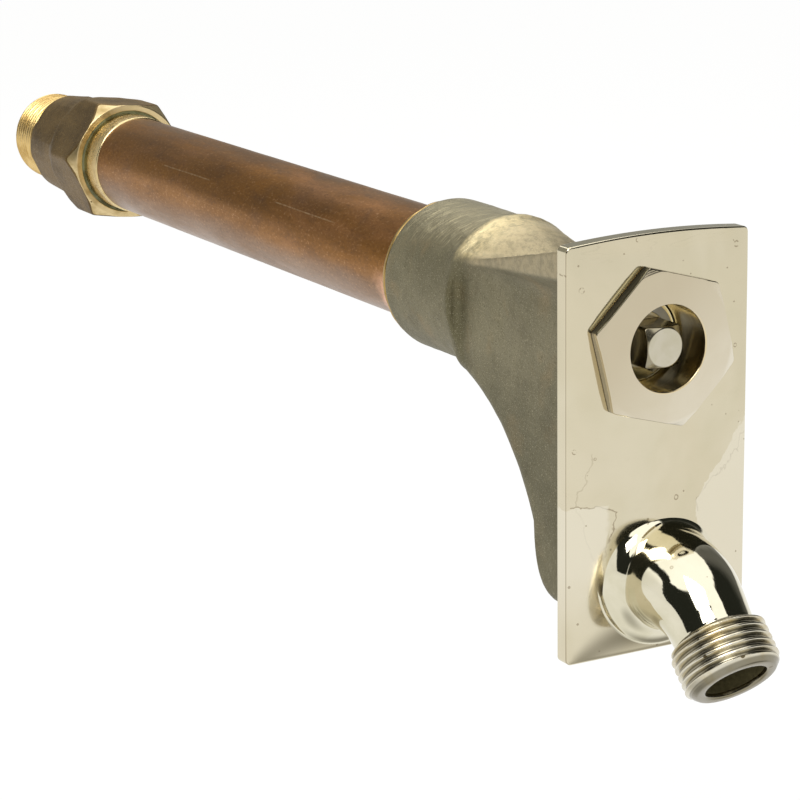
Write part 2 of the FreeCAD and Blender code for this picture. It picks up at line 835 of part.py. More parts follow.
def inlet_coupling():
    """Coupling with a groove round the adapter's collar, the plunger's chamber and the inlet socket."""
    ledge_at = collar_ring_end_at + gasket_thickness
    thread_bore = adapter_thread_radius + seat_clearance
    chamber_start = adapter_end_at + 1.0
    bores = turned([
        (coupling_start - 1.0, 0),
        (coupling_start - 1.0, coupling_groove_radius),
        (ledge_at, coupling_groove_radius),
        (ledge_at, thread_bore),
        (chamber_start, thread_bore),
        (chamber_start, chamber_radius),
        (chamber_end, chamber_radius),
        (chamber_end, seat_thread_radius + seat_clearance),
        (seat_ledge_at, seat_thread_radius + seat_clearance),
        (seat_ledge_at, inlet_bore_radius),
        (inlet_thread_end - inlet_socket_length, inlet_bore_radius),
        (inlet_thread_end - inlet_socket_length, inlet_socket_radius),
        (inlet_thread_end + 1.0, inlet_socket_radius),
        (inlet_thread_end + 1.0, 0),
    ])
    return coupling_outside().cut(bores).removeSplitter()


def valve_seat():
    """Screwed seat with a raised lip round its orifice."""
    seat_end = seat_ledge_at - seat_o_ring_thickness - seat_clearance
    return turned([
        (seat_front_at, seat_orifice_radius + 0.6),
        (seat_front_at, seat_lip_radius - 1.0),
        (chamber_end, seat_lip_radius),
        (chamber_end, seat_thread_radius),
        (seat_end, seat_thread_radius),
        (seat_end, seat_orifice_radius),
        (seat_front_at + 0.6, seat_orifice_radius),
    ])


def seat_o_ring():
    """Square-section seal between the seat and the coupling's ledge."""
    end = seat_ledge_at - seat_clearance / 2
    return ring(end - seat_o_ring_thickness, end, inlet_bore_radius + 0.3, seat_thread_radius - 0.2)


def operating_rod():
    rod = cylinder(rod_start_at + seat_clearance, rod_end_at - seat_clearance, rod_radius)
    for at in (rod_front_pin_at, rod_rear_pin_at):
        rod = rod.cut(cross_pin(at, rod_pin_radius + seat_clearance / 2, 4 * rod_radius, point(0, 0, 1)))
    for at in rod_guide_places:
        rod = rod.cut(cross_pin(at, guide_pin_radius + seat_clearance / 2, 4 * rod_radius, point(0, 0, 1)))
    return rod


def rod_pins():
    """Cross pins that hold the rod in the drive nut and in the plunger."""
    front = cross_pin(rod_front_pin_at, rod_pin_radius, drive_nut_across - 1.6, point(0, 0, 1))
    rear = cross_pin(rod_rear_pin_at, rod_pin_radius, 2 * plunger_neck_radius - 0.6, point(0, 0, 1))
    return Part.makeCompound([front, rear])


def rod_guides():
    """Two three-lobed discs that keep the rod in the middle of the tube."""
    lobe_radius = tube_bore_radius - sliding_clearance
    guides = []
    for at in rod_guide_places:
        start = at - rod_guide_length / 2
        guide = ring(start, start + rod_guide_length, rod_radius + seat_clearance, lobe_radius)
        for place in range(3):
            angle = math.radians(-90 + 120 * place)
            out = rod_guide_hub + rod_guide_scallop_radius
            centre = point(out * math.cos(angle), start - 1.0, out * math.sin(angle))
            scallop = Part.makeCylinder(
                rod_guide_scallop_radius, rod_guide_length + 2.0, centre, point(0, 1, 0))
            guide = guide.cut(scallop)
        hole_length = 2 * rod_guide_hub + 1.0
        guide = guide.cut(cross_pin(at, guide_pin_radius + seat_clearance / 2, hole_length, point(0, 0, 1)))
        guides.append(guide)
    return Part.makeCompound(guides)


def guide_pins():
    length = 2 * rod_guide_hub - 0.6
    return Part.makeCompound([
        cross_pin(at, guide_pin_radius, length, point(0, 0, 1)) for at in rod_guide_places])


def plunger():
    """Valve head: a pinned neck with three guide ribs and a cup for the seat washer."""
    cup_start = plunger_end_at - washer_cup_depth
    cup_body_start = cup_start - 3.0
    socket_end = rod_end_at
    body = turned([
        (plunger_start_at, 0),
        (plunger_start_at, plunger_neck_radius),
        (cup_body_start - 2.0, plunger_neck_radius),
        (cup_body_start, plunger_radius),
        (plunger_end_at, plunger_radius),
        (plunger_end_at, washer_radius + seat_clearance),
        (cup_start, washer_radius + seat_clearance),
        (cup_start, 0),
    ])
    rib_radius = adapter_bore_radius - sliding_clearance
    ribs = cylinder(plunger_start_at, plunger_start_at + plunger_rib_length, rib_radius)
    spokes = None
    for place in range(3):
        blade = Part.makeBox(plunger_rib_width, plunger_rib_length, rib_radius,
                             point(-plunger_rib_width / 2, plunger_start_at, 0))
        blade.rotate(point(0, 0, 0), point(0, 1, 0), 60 + 120 * place)
        spokes = blade if spokes is None else spokes.fuse(blade)
    body = body.fuse(ribs.common(spokes))
    body = body.cut(cylinder(plunger_start_at - 1.0, socket_end, rod_radius + seat_clearance))
    hole = cross_pin(rod_rear_pin_at, rod_pin_radius + seat_clearance / 2, 2 * plunger_neck_radius + 1.0,
                     point(0, 0, 1))
    screw_hole = cylinder(socket_end, cup_start + 1.0, screw_shank_radius + seat_clearance / 2)
    return body.cut(hole).cut(screw_hole).removeSplitter()


def seat_washer():
    return ring(washer_back_at, washer_face_at, screw_shank_radius + seat_clearance, washer_radius)


def washer_retainer():
    start = washer_face_at
    return ring(start, start + retainer_thickness, screw_shank_radius + seat_clearance, retainer_radius)


def washer_screw():
    """Slotted screw through the retainer and the washer into the plunger."""
    head_start = washer_face_at + retainer_thickness
    head_end = head_start + screw_head_height
    screw = turned([
        (head_start - screw_shank_length, 0),
        (head_start - screw_shank_length, screw_shank_radius),
        (head_start, screw_shank_radius),
        (head_start, screw_head_radius),
        (head_end - 0.6, screw_head_radius),
        (head_end, screw_head_radius - 0.6),
        (head_end, 0),
    ])
    slot = Part.makeBox(2 * screw_head_radius + 1.0, screw_slot_depth + 1.0, screw_slot_width,
                        point(-screw_head_radius - 0.5, head_end - screw_slot_depth, -screw_slot_width / 2))
    return screw.cut(slot)


nodes = {
    "head_casting": head_casting,
    "bonnet_nut": bonnet_nut,
    "bonnet_o_ring": bonnet_o_ring,
    "packing_rings": packing_rings,
    "packing_gland": packing_gland,
    "thrust_washer": thrust_washer,
    "operating_stem": operating_stem,
    "stem_retaining_ring": stem_retaining_ring,
    "drive_nut": drive_nut,
    "coupling_guide": coupling_guide,
    "guide_snap_ring": guide_snap_ring,
    "casing_tube": casing_tube,
    "front_braze_ring": front_braze_ring,
    "tube_adapter": tube_adapter,
    "coupling_gasket": coupling_gasket,
    "inlet_coupling": inlet_coupling,
    "valve_seat": valve_seat,
    "seat_o_ring": seat_o_ring,
    "operating_rod": operating_rod,
    "rod_pins": rod_pins,
    "rod_guides": rod_guides,
    "guide_pins": guide_pins,
    "plunger": plunger,
    "seat_washer": seat_washer,
    "washer_retainer": washer_retainer,
    "washer_screw": washer_screw,
}

os.makedirs("parts", exist_ok=True)
for name, make in nodes.items():
    shape = make()
    shape.exportStep(f"parts/{name}.step")
    box = shape.BoundBox
    print(f"{name}: {len(shape.Solids)} solid, valid {shape.isValid()}, volume {shape.Volume:.0f} mm3, "
          f"Y {box.YMin:.2f} to {box.YMax:.2f}, Z {box.ZMin:.2f} to {box.ZMax:.2f}")
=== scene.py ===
import math

import bpy
import numpy as np
from mathutils import Matrix, Vector


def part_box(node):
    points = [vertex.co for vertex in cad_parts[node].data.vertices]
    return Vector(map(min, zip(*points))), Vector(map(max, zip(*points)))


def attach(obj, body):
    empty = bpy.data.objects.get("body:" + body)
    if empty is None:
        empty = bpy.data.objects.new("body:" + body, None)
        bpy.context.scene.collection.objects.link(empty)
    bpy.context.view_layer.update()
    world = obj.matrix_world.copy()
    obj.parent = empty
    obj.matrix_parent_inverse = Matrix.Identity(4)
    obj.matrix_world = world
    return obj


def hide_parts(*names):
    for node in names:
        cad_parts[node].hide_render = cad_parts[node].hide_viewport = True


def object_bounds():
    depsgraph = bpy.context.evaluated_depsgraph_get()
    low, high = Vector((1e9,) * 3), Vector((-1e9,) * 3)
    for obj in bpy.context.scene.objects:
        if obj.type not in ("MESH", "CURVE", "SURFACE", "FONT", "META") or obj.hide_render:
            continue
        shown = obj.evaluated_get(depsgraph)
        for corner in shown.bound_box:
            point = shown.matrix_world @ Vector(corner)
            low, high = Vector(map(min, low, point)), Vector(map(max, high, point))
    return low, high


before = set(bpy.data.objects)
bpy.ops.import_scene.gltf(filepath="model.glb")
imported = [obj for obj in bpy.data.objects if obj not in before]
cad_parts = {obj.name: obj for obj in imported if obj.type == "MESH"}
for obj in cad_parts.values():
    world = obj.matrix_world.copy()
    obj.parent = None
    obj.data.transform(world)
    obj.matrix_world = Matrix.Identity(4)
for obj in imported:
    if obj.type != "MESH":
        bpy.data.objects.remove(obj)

cad_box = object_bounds()

# Shapes are worked out in millimetres and scaled once, when their mesh is made.
MM = 0.001


def ends_of(node):
    """Lowest and highest place of a node along Y at rest, in millimetres."""
    low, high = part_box(node)
    return low[1] / MM, high[1] / MM


# Face plate
plate_half_width = 28.575
plate_corner_height = 29.0
plate_crown = 1.4
plate_drop = 84.7
plate_thickness = 4.6
plate_bulge = 1.4
plate_side_fall = 8.0
plate_end_fall = 8.0
# Round the spout the plate swells more, and more evenly.
spout_swell = 2.8
spout_swell_fall = 2.6
swell_top = -20.0
swell_full = -45.0
plate_corner_radius = 1.6
shank_bore = 15.6

# Casting
barrel_radius = 18.2
waist_radius = 16.8
boss_front_radius = 22.5
boss_radius = 22.9
boss_shoulder = 69.0
boss_end = ends_of("head_casting")[1]
boss_rounding = 3.0
side_flat = 18.0
web_top = 13.5
web_reach = 74.0
web_foot = -76.8
web_foot_rounding = 10.0
web_arc = (89.6, -78.6, 60.8)
wedge_end = 64.0
tube_socket = 17.56
tube_socket_start = 84.0
waterway = 13.0
guide_bore = 14.5
guide_bore_start, guide_bore_end = 22.0, 62.0

# Spout
spout_drop = 62.6
spout_tilt = math.radians(45)
spout_root_radius = 13.6
spout_cove = 6.3
spout_bend_radii = (12.9, 11.4)
spout_bend_radius = 24.0
spout_reach = 37.7
spout_fall = 20.1
spout_bore = 8.6
hose_thread_radius = 13.49
hose_thread_pitch = 2.209
hose_thread_depth = 1.25
hose_thread_length = 14.3
hose_thread_chamfer = 2.3
hose_thread_runin = 1.8
hose_face_radius = 11.2
spout_neck_radius = 11.0

# Bonnet nut and stem
nut_corner_radius = 22.8
nut_vertex_angle = math.radians(-16)
nut_rounding = 1.5
nut_chamfer_radius = 20.5
nut_chamfer_angle = math.radians(14)
nut_dome = 0.4
dull_shaded_flat_angle = math.radians(134)
nut_top = ends_of("bonnet_nut")[0]
nut_front = nut_top + nut_dome
nut_back = nut_front + 3.2
key_hole_radius = 11.8
nut_shank_radius = shank_bore - 0.1
nut_shank_end = 20.0
packing_bore = 12.0
web_front = nut_front + 14.05
web_back = 9.0
stem_hole = 8.0
stem_front, stem_end = ends_of("operating_stem")
square_half = 5.55
square_tip_radius = 5.2
journal_start = stem_front + 11.1
journal_radius = 7.94
clip_groove_width = 1.26
clip_groove_depth = 0.9
collar_front, collar_back = 21.5, 25.0
stem_collar_radius = 11.5
stem_thread_lead = 3.175
stem_thread_root, stem_thread_depth = 5.3, 0.9

# Tube, adapter and coupling
tube_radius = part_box("casing_tube")[1][0] / MM
tube_start, tube_end = ends_of("casing_tube")
tube_wall = 1.4
adapter_start, adapter_end = ends_of("tube_adapter")
adapter_bore, spigot_radius, collar_radius = 13.5, 15.9, 17.98
adapter_thread_root, adapter_thread_depth, adapter_thread_pitch = 15.0, 0.85, 1.6
collar_overlap = 3.2
collar_groove_pitch = 0.8
gasket_start, gasket_end = ends_of("coupling_gasket")
bead_radius = 22.2
bead_thickness = 1.3
coupling_front = gasket_start - 5.0
coupling_corner_radius = 24.55
coupling_vertex_angle = math.radians(-5.7)
coupling_rounding = 2.0
coupling_chamfer_radius = 21.2
coupling_chamfer_length = 4.6
coupling_hexagon_end = coupling_front + 19.0
coupling_taper_end = coupling_front + 30.0
coupling_neck_end = coupling_front + 55.0
coupling_neck_radius = 20.3
coupling_neck_corner = 21.4
coupling_neck_end_radius = 19.0
coupling_groove = 19.1
verdigris_depth = 0.6
verdigris_inside = 17.5
inlet_end = ends_of("inlet_coupling")[1]
inlet_thread_radius = 16.8
inlet_thread_pitch = 2.209
inlet_thread_depth = 1.15
inlet_socket_radius = 12.3
inlet_socket_depth = 20.0
inlet_socket_pitch, inlet_socket_thread_depth = 1.814, 0.75
valve_seat_end = gasket_end + 39.8


# Surfaces

def put_mesh(name, points, faces, body, materials, face_materials=None):
    """Make a smooth-shaded mesh object, with its faces turned outwards by the sign of its volume."""
    a, b, c = (points[faces[:, k]] for k in (0, 1, 2))
    d = points[faces[:, 3]]
    volume = np.einsum("ij,ij->i", a, np.cross(b, c)).sum() + np.einsum("ij,ij->i", a, np.cross(c, d)).sum()
    if volume < 0:
        faces = faces[:, ::-1]
    is_triangle = faces[:, 2] == faces[:, 3] if volume >= 0 else faces[:, 0] == faces[:, 1]
    keep = np.ones(faces.shape, bool)
    keep[is_triangle, 3 if volume >= 0 else 0] = False
    counts = keep.sum(axis=1)
    starts = np.concatenate([[0], np.cumsum(counts)[:-1]])
    loops = faces[keep]
    mesh = bpy.data.meshes.new(name)
    mesh.vertices.add(len(points))
    mesh.vertices.foreach_set("co", (points * MM).astype(np.float32).ravel())
    mesh.loops.add(len(loops))
    mesh.loops.foreach_set("vertex_index", loops.astype(np.int32))
    mesh.polygons.add(len(faces))
    mesh.polygons.foreach_set("loop_start", starts.astype(np.int32))
    mesh.polygons.foreach_set("use_smooth", np.ones(len(faces), bool))
    for material in materials:
        mesh.materials.append(material)
    if face_materials is not None:
        mesh.polygons.foreach_set("material_index", face_materials.astype(np.int32))
    mesh.update(calc_edges=True)
    mesh.validate()
    piece = bpy.data.objects.new(name, mesh)
    bpy.context.scene.collection.objects.link(piece)
    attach(piece, body)
    return piece


def surface(name, grid, body, materials, row_materials=None, ends="loop"):
    """Mesh over a grid of rows and columns. Columns always close on themselves.

    ends is "loop" where the last row meets the first, or "poles" where each end closes on its own mean.
    """
    rows, columns = grid.shape[:2]
    points = grid.reshape(-1, 3)
    index = np.arange(rows * columns).reshape(rows, columns)
    lower = index if ends == "loop" else index[:-1]
    upper = np.roll(index, -1, axis=0) if ends == "loop" else index[1:]
    faces = np.stack([lower, np.roll(lower, -1, axis=1), np.roll(upper, -1, axis=1), upper], axis=-1)
    of_row = np.zeros(rows, int) if row_materials is None else np.asarray(row_materials)
    face_materials = np.repeat(of_row[:len(lower)], columns)
    faces = faces.reshape(-1, 4)
    if ends == "poles":
        poles = np.array([grid[0].mean(axis=0), grid[-1].mean(axis=0)])
        points = np.concatenate([points, poles])
        first = np.full(columns, rows * columns)
        last = first + 1
        start_fan = np.stack([np.roll(index[0], -1), index[0], first, first], axis=-1)
        end_fan = np.stack([index[-1], np.roll(index[-1], -1), last, last], axis=-1)
        faces = np.concatenate([faces, start_fan, end_fan])
        fan_materials = np.repeat([of_row[0], of_row[-1]], columns)
        face_materials = np.concatenate([face_materials, fan_materials])
    return put_mesh(name, points, faces, body, materials, face_materials)


def around(count):
    return np.linspace(0, 2 * math.pi, count, endpoint=False)


def circle(angles):
    return np.stack([np.cos(angles), np.sin(angles)], axis=-1)


def unit(vectors):
    return vectors / np.maximum(np.linalg.norm(vectors, axis=-1, keepdims=True), 1e-9)


def eased(corners, radii, steps=5, closed=True):
    """Profile through corners whose edges are eased.

    corners is (corner, column, 2). At each corner the line leaves one side a radius before the corner and
    joins the next side a radius after it along a quadratic curve. A held point just outside each end of the
    curve keeps the sides flat in the shading. Returns the rows and, for each row, the corner it belongs to.
    """
    count = len(corners)
    rows, owners = [], []
    for k, here in enumerate(corners):
        before = corners[k - 1] if closed or k > 0 else here
        after = corners[(k + 1) % count] if closed or k < count - 1 else here
        if radii[k] <= 0:
            rows.append(here)
            owners.append(k)
            continue
        length_in = np.linalg.norm(here - before, axis=-1, keepdims=True)
        length_out = np.linalg.norm(after - here, axis=-1, keepdims=True)
        # A curve takes no more than two fifths of a side.
        reach = np.minimum(radii[k], 0.4 * np.minimum(length_in, length_out))
        inward, outward = unit(here - before) * reach, unit(after - here) * reach
        rows.append(here - inward * 1.2)
        for t in np.linspace(0, 1, steps):
            rows.append((1 - t) ** 2 * (here - inward) + 2 * t * (1 - t) * here + t ** 2 * (here + outward))
        rows.append(here + outward * 1.2)
        owners += [k] * (steps + 2)
    return np.array(rows), np.array(owners)


def turned(rows, angles):
    """Carry (y, radius) rows round the Y axis: x is radius times cosine, z is radius times sine."""
    along, radius = rows[..., 0], rows[..., 1]
    return np.stack([radius * np.cos(angles), along, radius * np.sin(angles)], axis=-1)


def wrench_flats(angles, sides, corner_radius, vertex_angle, rounding):
    """Radius of a regular polygon at each angle, with its vertices rounded by a circle inside each corner."""
    half = math.pi / sides
    apothem = corner_radius * math.cos(half)
    from_flat = np.mod(angles - vertex_angle, 2 * half) - half
    flat = apothem / np.cos(from_flat)
    centre = (apothem - rounding) / math.cos(half)
    from_vertex = half - np.abs(from_flat)
    under = np.maximum(rounding ** 2 - (centre * np.sin(from_vertex)) ** 2, 0)
    round_part = centre * np.cos(from_vertex) + np.sqrt(under)
    tangent = math.atan((apothem - rounding) * math.tan(half) / apothem)
    return np.where(np.abs(from_flat) > tangent, round_part, flat)


def ring_rows(corners, angles):
    """Rows of a profile as (row, column, 2), each from a pair of plain numbers or per-angle arrays."""
    full = np.zeros(len(angles))
    return np.array([np.stack([y + full, radius + full], axis=-1) for y, radius in corners])


def waves(points, wavelength, seed, count=24):
    """Smooth seeded unevenness from -1 to 1: the mean of sines in random directions near one wavelength."""
    random = np.random.default_rng(seed)
    directions = unit(random.normal(size=(count, 3)))
    numbers = 2 * math.pi / (wavelength * random.uniform(0.6, 1.6, count))
    phases = random.uniform(0, 2 * math.pi, count)
    value = np.zeros(points.shape[:-1])
    for direction, number, phase in zip(directions, numbers, phases):
        value += np.sin(points @ direction * number + phase)
    return value / math.sqrt(count)


def thread_form(at, pitch, angles, hand=1):
    """Rounded V thread, 0 at the root and 1 at the crest, at places along the axis and angles round it."""
    turns = at[:, None] / pitch + hand * angles / (2 * math.pi)
    part = np.abs(np.mod(turns, 1.0) * 2 - 1)
    # The wave is a little too high for the clip, which leaves the crest and the root flat.
    return np.clip(0.5 - 0.62 * np.cos(math.pi * part), 0, 1)


# Materials

class Value:
    """Output of a shader node. Arithmetic on it adds Math nodes."""

    def __init__(self, s, socket):
        self.s = s
        self.socket = socket

    def __add__(self, other):
        return self.s.math("ADD", self, other)

    def __sub__(self, other):
        return self.s.math("SUBTRACT", self, other)

    def __mul__(self, other):
        return self.s.math("MULTIPLY", self, other)

    def __truediv__(self, other):
        return self.s.math("DIVIDE", self, other)

    def __abs__(self):
        return self.s.math("ABSOLUTE", self)


class Shader:
    """Short ways to add and join the nodes of one node tree."""

    def __init__(self, tree):
        self.tree = tree

    def feed(self, socket, value):
        if isinstance(value, Value):
            self.tree.links.new(value.socket, socket)
        else:
            socket.default_value = value

    def add(self, kind, inputs=None, **settings):
        node = self.tree.nodes.new("ShaderNode" + kind)
        for key, value in settings.items():
            setattr(node, key, value)
        for key, value in (inputs or {}).items():
            self.feed(node.inputs[key], value)
        return node

    def out(self, node, output=0):
        return Value(self, node.outputs[output])

    def get(self, kind, inputs=None, output=0, **settings):
        """Value of a new node's output."""
        return self.out(self.add(kind, inputs, **settings), output)

    def math(self, operation, first, second=0.0):
        return self.get("Math", {0: first, 1: second}, operation=operation)

    def most(self, *values):
        """Highest of several values."""
        highest = values[0]
        for value in values[1:]:
            highest = self.math("MAXIMUM", highest, value)
        return highest

    def length(self, first, second):
        """Length of a two-part vector."""
        return self.math("SQRT", first * first + second * second)

    def mix(self, factor, first, second):
        """Blend of two colours."""
        return self.get("Mix", {0: factor, 6: first, 7: second}, 2, data_type="RGBA")

    def layers(self, base, *coats):
        """Colour under coats, each given as its mask and its colour."""
        for mask, colour in coats:
            base = self.mix(mask, base, colour)
        return base

    def blend(self, factor, first, second):
        """Blend of two numbers."""
        return self.get("Mix", {0: factor, 2: first, 3: second}, data_type="FLOAT")

    def step(self, value, low, high):
        """Smooth step from 0 at low to 1 at high."""
        levels = {"Value": value, "From Min": low, "From Max": high}
        return self.get("MapRange", levels, interpolation_type="SMOOTHSTEP")

    def place(self, scale=(1, 1, 1), turn=(0, 0, 0), shift=(0, 0, 0)):
        """Object coordinates, stretched, turned and shifted."""
        source = self.get("TexCoord", output="Object")
        return self.get("Mapping", {"Vector": source, "Scale": scale, "Rotation": turn, "Location": shift})

    def parts(self, vector):
        """The three numbers of a vector."""
        node = self.add("SeparateXYZ", {"Vector": vector})
        return [self.out(node, k) for k in range(3)]

    def xyz(self):
        """Object coordinates in metres, as three values."""
        return self.parts(self.get("TexCoord", output="Object"))

    def rays(self):
        """Whether a ray comes from the camera, from a glossy surface or through a clear one."""
        path = self.add("LightPath")
        return [self.out(path, f"Is {kind} Ray") for kind in ("Camera", "Glossy", "Transmission")]

    def noise(self, scale, detail=3.0, rough=0.55, distortion=0.0, at=None):
        return self.get("TexNoise", {"Vector": at or self.place(), "Scale": scale, "Detail": detail,
                                     "Roughness": rough, "Distortion": distortion})

    def group(self, name, at=None, **inputs):
        tree = bpy.data.node_groups[name]
        return self.get("Group", {"Vector": at or self.place(), **inputs}, node_tree=tree)

    def patches(self, scale, low, high, at=None):
        return self.group("tarnish patches", at, Scale=scale, Low=low, High=high)

    def pits(self, scale, size, share):
        return self.group("pits", Scale=scale, Size=size, Share=share)

    def spots(self, scale, size, share):
        return self.group("water spots", Scale=scale, Size=size, Share=share)

    def ring_mark(self, x, z, at, radius):
        """Ring round a point of the X-Z plane, as a mask; lengths in metres."""
        return self.step(abs(self.length(x - at[0], z - at[1]) - radius), radius * 0.5, 0.0)

    def line_mark(self, x, z, first, last, width):
        """Line between two points of the X-Z plane, as a mask; lengths in metres."""
        run = (last[0] - first[0], last[1] - first[1])
        square = run[0] ** 2 + run[1] ** 2
        dx, dz = x - first[0], z - first[1]
        share = dx * (run[0] / square) + dz * (run[1] / square)
        share = self.math("MINIMUM", self.most(share, 0.0), 1.0)
        away = self.length(dx - share * run[0], dz - share * run[1])
        return self.step(away, width, width * 0.2)


def make_group(name, build, **numbers):
    """Shader node group over a vector and named numbers, built once and placed in each material."""
    tree = bpy.data.node_groups.new(name, "ShaderNodeTree")
    tree.interface.new_socket(name="Vector", in_out="INPUT", socket_type="NodeSocketVector")
    for label, value in numbers.items():
        socket = tree.interface.new_socket(name=label, in_out="INPUT", socket_type="NodeSocketFloat")
        socket.default_value = value
    tree.interface.new_socket(name="Result", in_out="OUTPUT", socket_type="NodeSocketFloat")
    source = tree.nodes.new("NodeGroupInput")
    target = tree.nodes.new("NodeGroupOutput")
    s = Shader(tree)
    given = {socket.name: Value(s, socket) for socket in source.outputs}
    s.feed(target.inputs[0], build(s, given))


def build_patches(s, given):
    """Soft patches of tarnish: a noise stretched to a mask between two levels."""
    broad = s.noise(given["Scale"], 4.0, 0.6, 0.4, given["Vector"])
    return s.step(broad, given["Low"], given["High"])


def random_cells(s, given):
    """Distance from the middle of each cell, and two random numbers of the cell."""
    cells = s.add("TexVoronoi", {"Vector": given["Vector"], "Scale": given["Scale"]})
    chance = s.add("SeparateColor", {"Color": s.out(cells, "Color")})
    return s.out(cells, "Distance"), s.out(chance, 0), s.out(chance, 1)


def build_pits(s, given):
    """Small round pits: the middle of some cells."""
    away, choice, size = random_cells(s, given)
    inside = s.math("LESS_THAN", away, size * given["Size"])
    return inside * s.math("LESS_THAN", choice, given["Share"])


def build_spots(s, given):
    """Dried water spots: a thin ring round the middle of some cells."""
    away, choice, size = random_cells(s, given)
    bent = s.noise(given["Scale"] * 3.0, 2.0, at=given["Vector"])
    radius = (size + 0.35) * given["Size"]
    radius = radius + (bent - 0.5) * (radius * 0.6)
    ring = s.step(abs(away - radius), given["Size"] * 0.28, 0.0)
    return ring * s.math("LESS_THAN", choice, given["Share"])


def build_hairlines(s, given):
    """Fine scratches: the narrow ridges of a noise that the vector stretches, with gaps."""
    ridge = s.noise(given["Scale"], 1.0, 0.5, 0.2, given["Vector"])
    line = s.step(abs(ridge - 0.5), given["Width"], 0.0)
    gate = s.noise(given["Scale"] * 0.31, 2.0, at=given["Vector"])
    return line * s.step(gate, given["Low"], given["Low"] + 0.08)


def build_rings(s, given):
    """Turned tool lines: a sine of the distance over the pitch, broken a little by noise."""
    wobble = s.noise(300.0, 2.0, at=given["Vector"])
    return s.math("SINE", (given["Distance"] / given["Pitch"] + wobble * 0.8) * (2 * math.pi))


make_group("tarnish patches", build_patches, Scale=60.0, Low=0.4, High=0.6)
make_group("pits", build_pits, Scale=100.0, Size=0.1, Share=0.3)
make_group("water spots", build_spots, Scale=80.0, Size=0.1, Share=0.3)
make_group("hairlines", build_hairlines, Scale=100.0, Width=0.01, Low=0.5)
make_group("turned lines", build_rings, Distance=0.0, Pitch=0.0004)


def shade(red, green, blue):
    """Linear colour of an sRGB one from 0 to 255."""
    parts = [part / 255 for part in (red, green, blue)]
    return tuple(p / 12.92 if p <= 0.04045 else ((p + 0.055) / 1.055) ** 2.4 for p in parts) + (1.0,)


def empty_shader(owner):
    """Shader over the emptied node tree of a material or world."""
    owner.use_nodes = True
    owner.node_tree.nodes.clear()
    return Shader(owner.node_tree)


def metal(name, colour, roughness, normal, metallic=1.0):
    """Principled material. Colour, roughness and normal are functions that add to its node tree."""
    material = bpy.data.materials.new(name)
    s = empty_shader(material)
    paint = s.get("BsdfPrincipled", {"Base Color": colour(s), "Roughness": roughness(s), "Metallic": metallic,
                                     "Normal": normal(s)})
    s.add("OutputMaterial", {"Surface": paint})
    return material


def bumped(s, height, distance, under=None):
    """Normal of a height from 0 to 1 over a distance in metres, on top of another normal if one is given."""
    lower = {"Normal": under} if under else {}
    return s.get("Bump", {"Height": height, "Distance": distance, "Strength": 1.0, **lower})


def varied(least, more, scale, detail=3.0):
    """Roughness that a noise raises from its least value by up to some more."""
    return lambda s: s.noise(scale, detail) * more + least


def grainy(scale, distance, stretch=(1, 1, 1)):
    """Normal of a fine noise."""
    return lambda s: bumped(s, s.noise(scale, at=s.place(stretch)), distance)


def polish_ripple(distance):
    """Normal of the shallow unevenness that buffing leaves in soft bronze."""
    return lambda s: bumped(s, s.noise(900.0, 2.0), distance * 0.06, bumped(s, s.noise(120.0, 2.0), distance))


# Nickel bronze of the face plate

nickel_cream, nickel_dull = shade(211, 201, 174), shade(206, 197, 169)
nickel_pale, nickel_washed = shade(224, 216, 194), shade(227, 220, 200)
nickel_line, nickel_spot, nickel_pit = shade(122, 104, 74), shade(150, 132, 100), shade(128, 112, 84)

# Marks on the plate, in millimetres from the stem's axis: dried rings, and tide lines beside the spout.
plate_rings = ((-11.3, -61.9), (-26.5, -25.4), (-20.6, -27.9), (4.6, -42.0), (-29.0, 21.7), (-24.4, 17.7),
               (-6.9, 29.0), (24.3, 24.8), (24.1, -2.8))
ring_radius = 0.45
left_tide = ((-27.5, -40.6), (-19.1, -41.3), (-13.5, -43.9), (-17.5, -52.1), (-18.7, -57.5), (-16.8, -63.4))
faint_tide = ((-21.2, -27.0), (-25.9, -40.0), (-20.5, -57.5))
right_tide = ((29.5, -21.8), (28.2, -25.9), (26.3, -29.8), (22.1, -34.8), (11.4, -43.1), (12.1, -47.4))
tide_width = 0.32
# The line that bounds the washed zone on the right: a point on it in metres, and the direction across it.
washed_from, washed_across = (0.0114, -0.0431), (0.762, 0.648)


def tide_mask(s, x, z, points, width):
    """A dried line through points, as the strongest of its stretches."""
    points = np.array(points) * MM
    stretches = zip(points[:-1], points[1:])
    return s.most(*[s.line_mark(x, z, first, last, width * MM) for first, last in stretches])


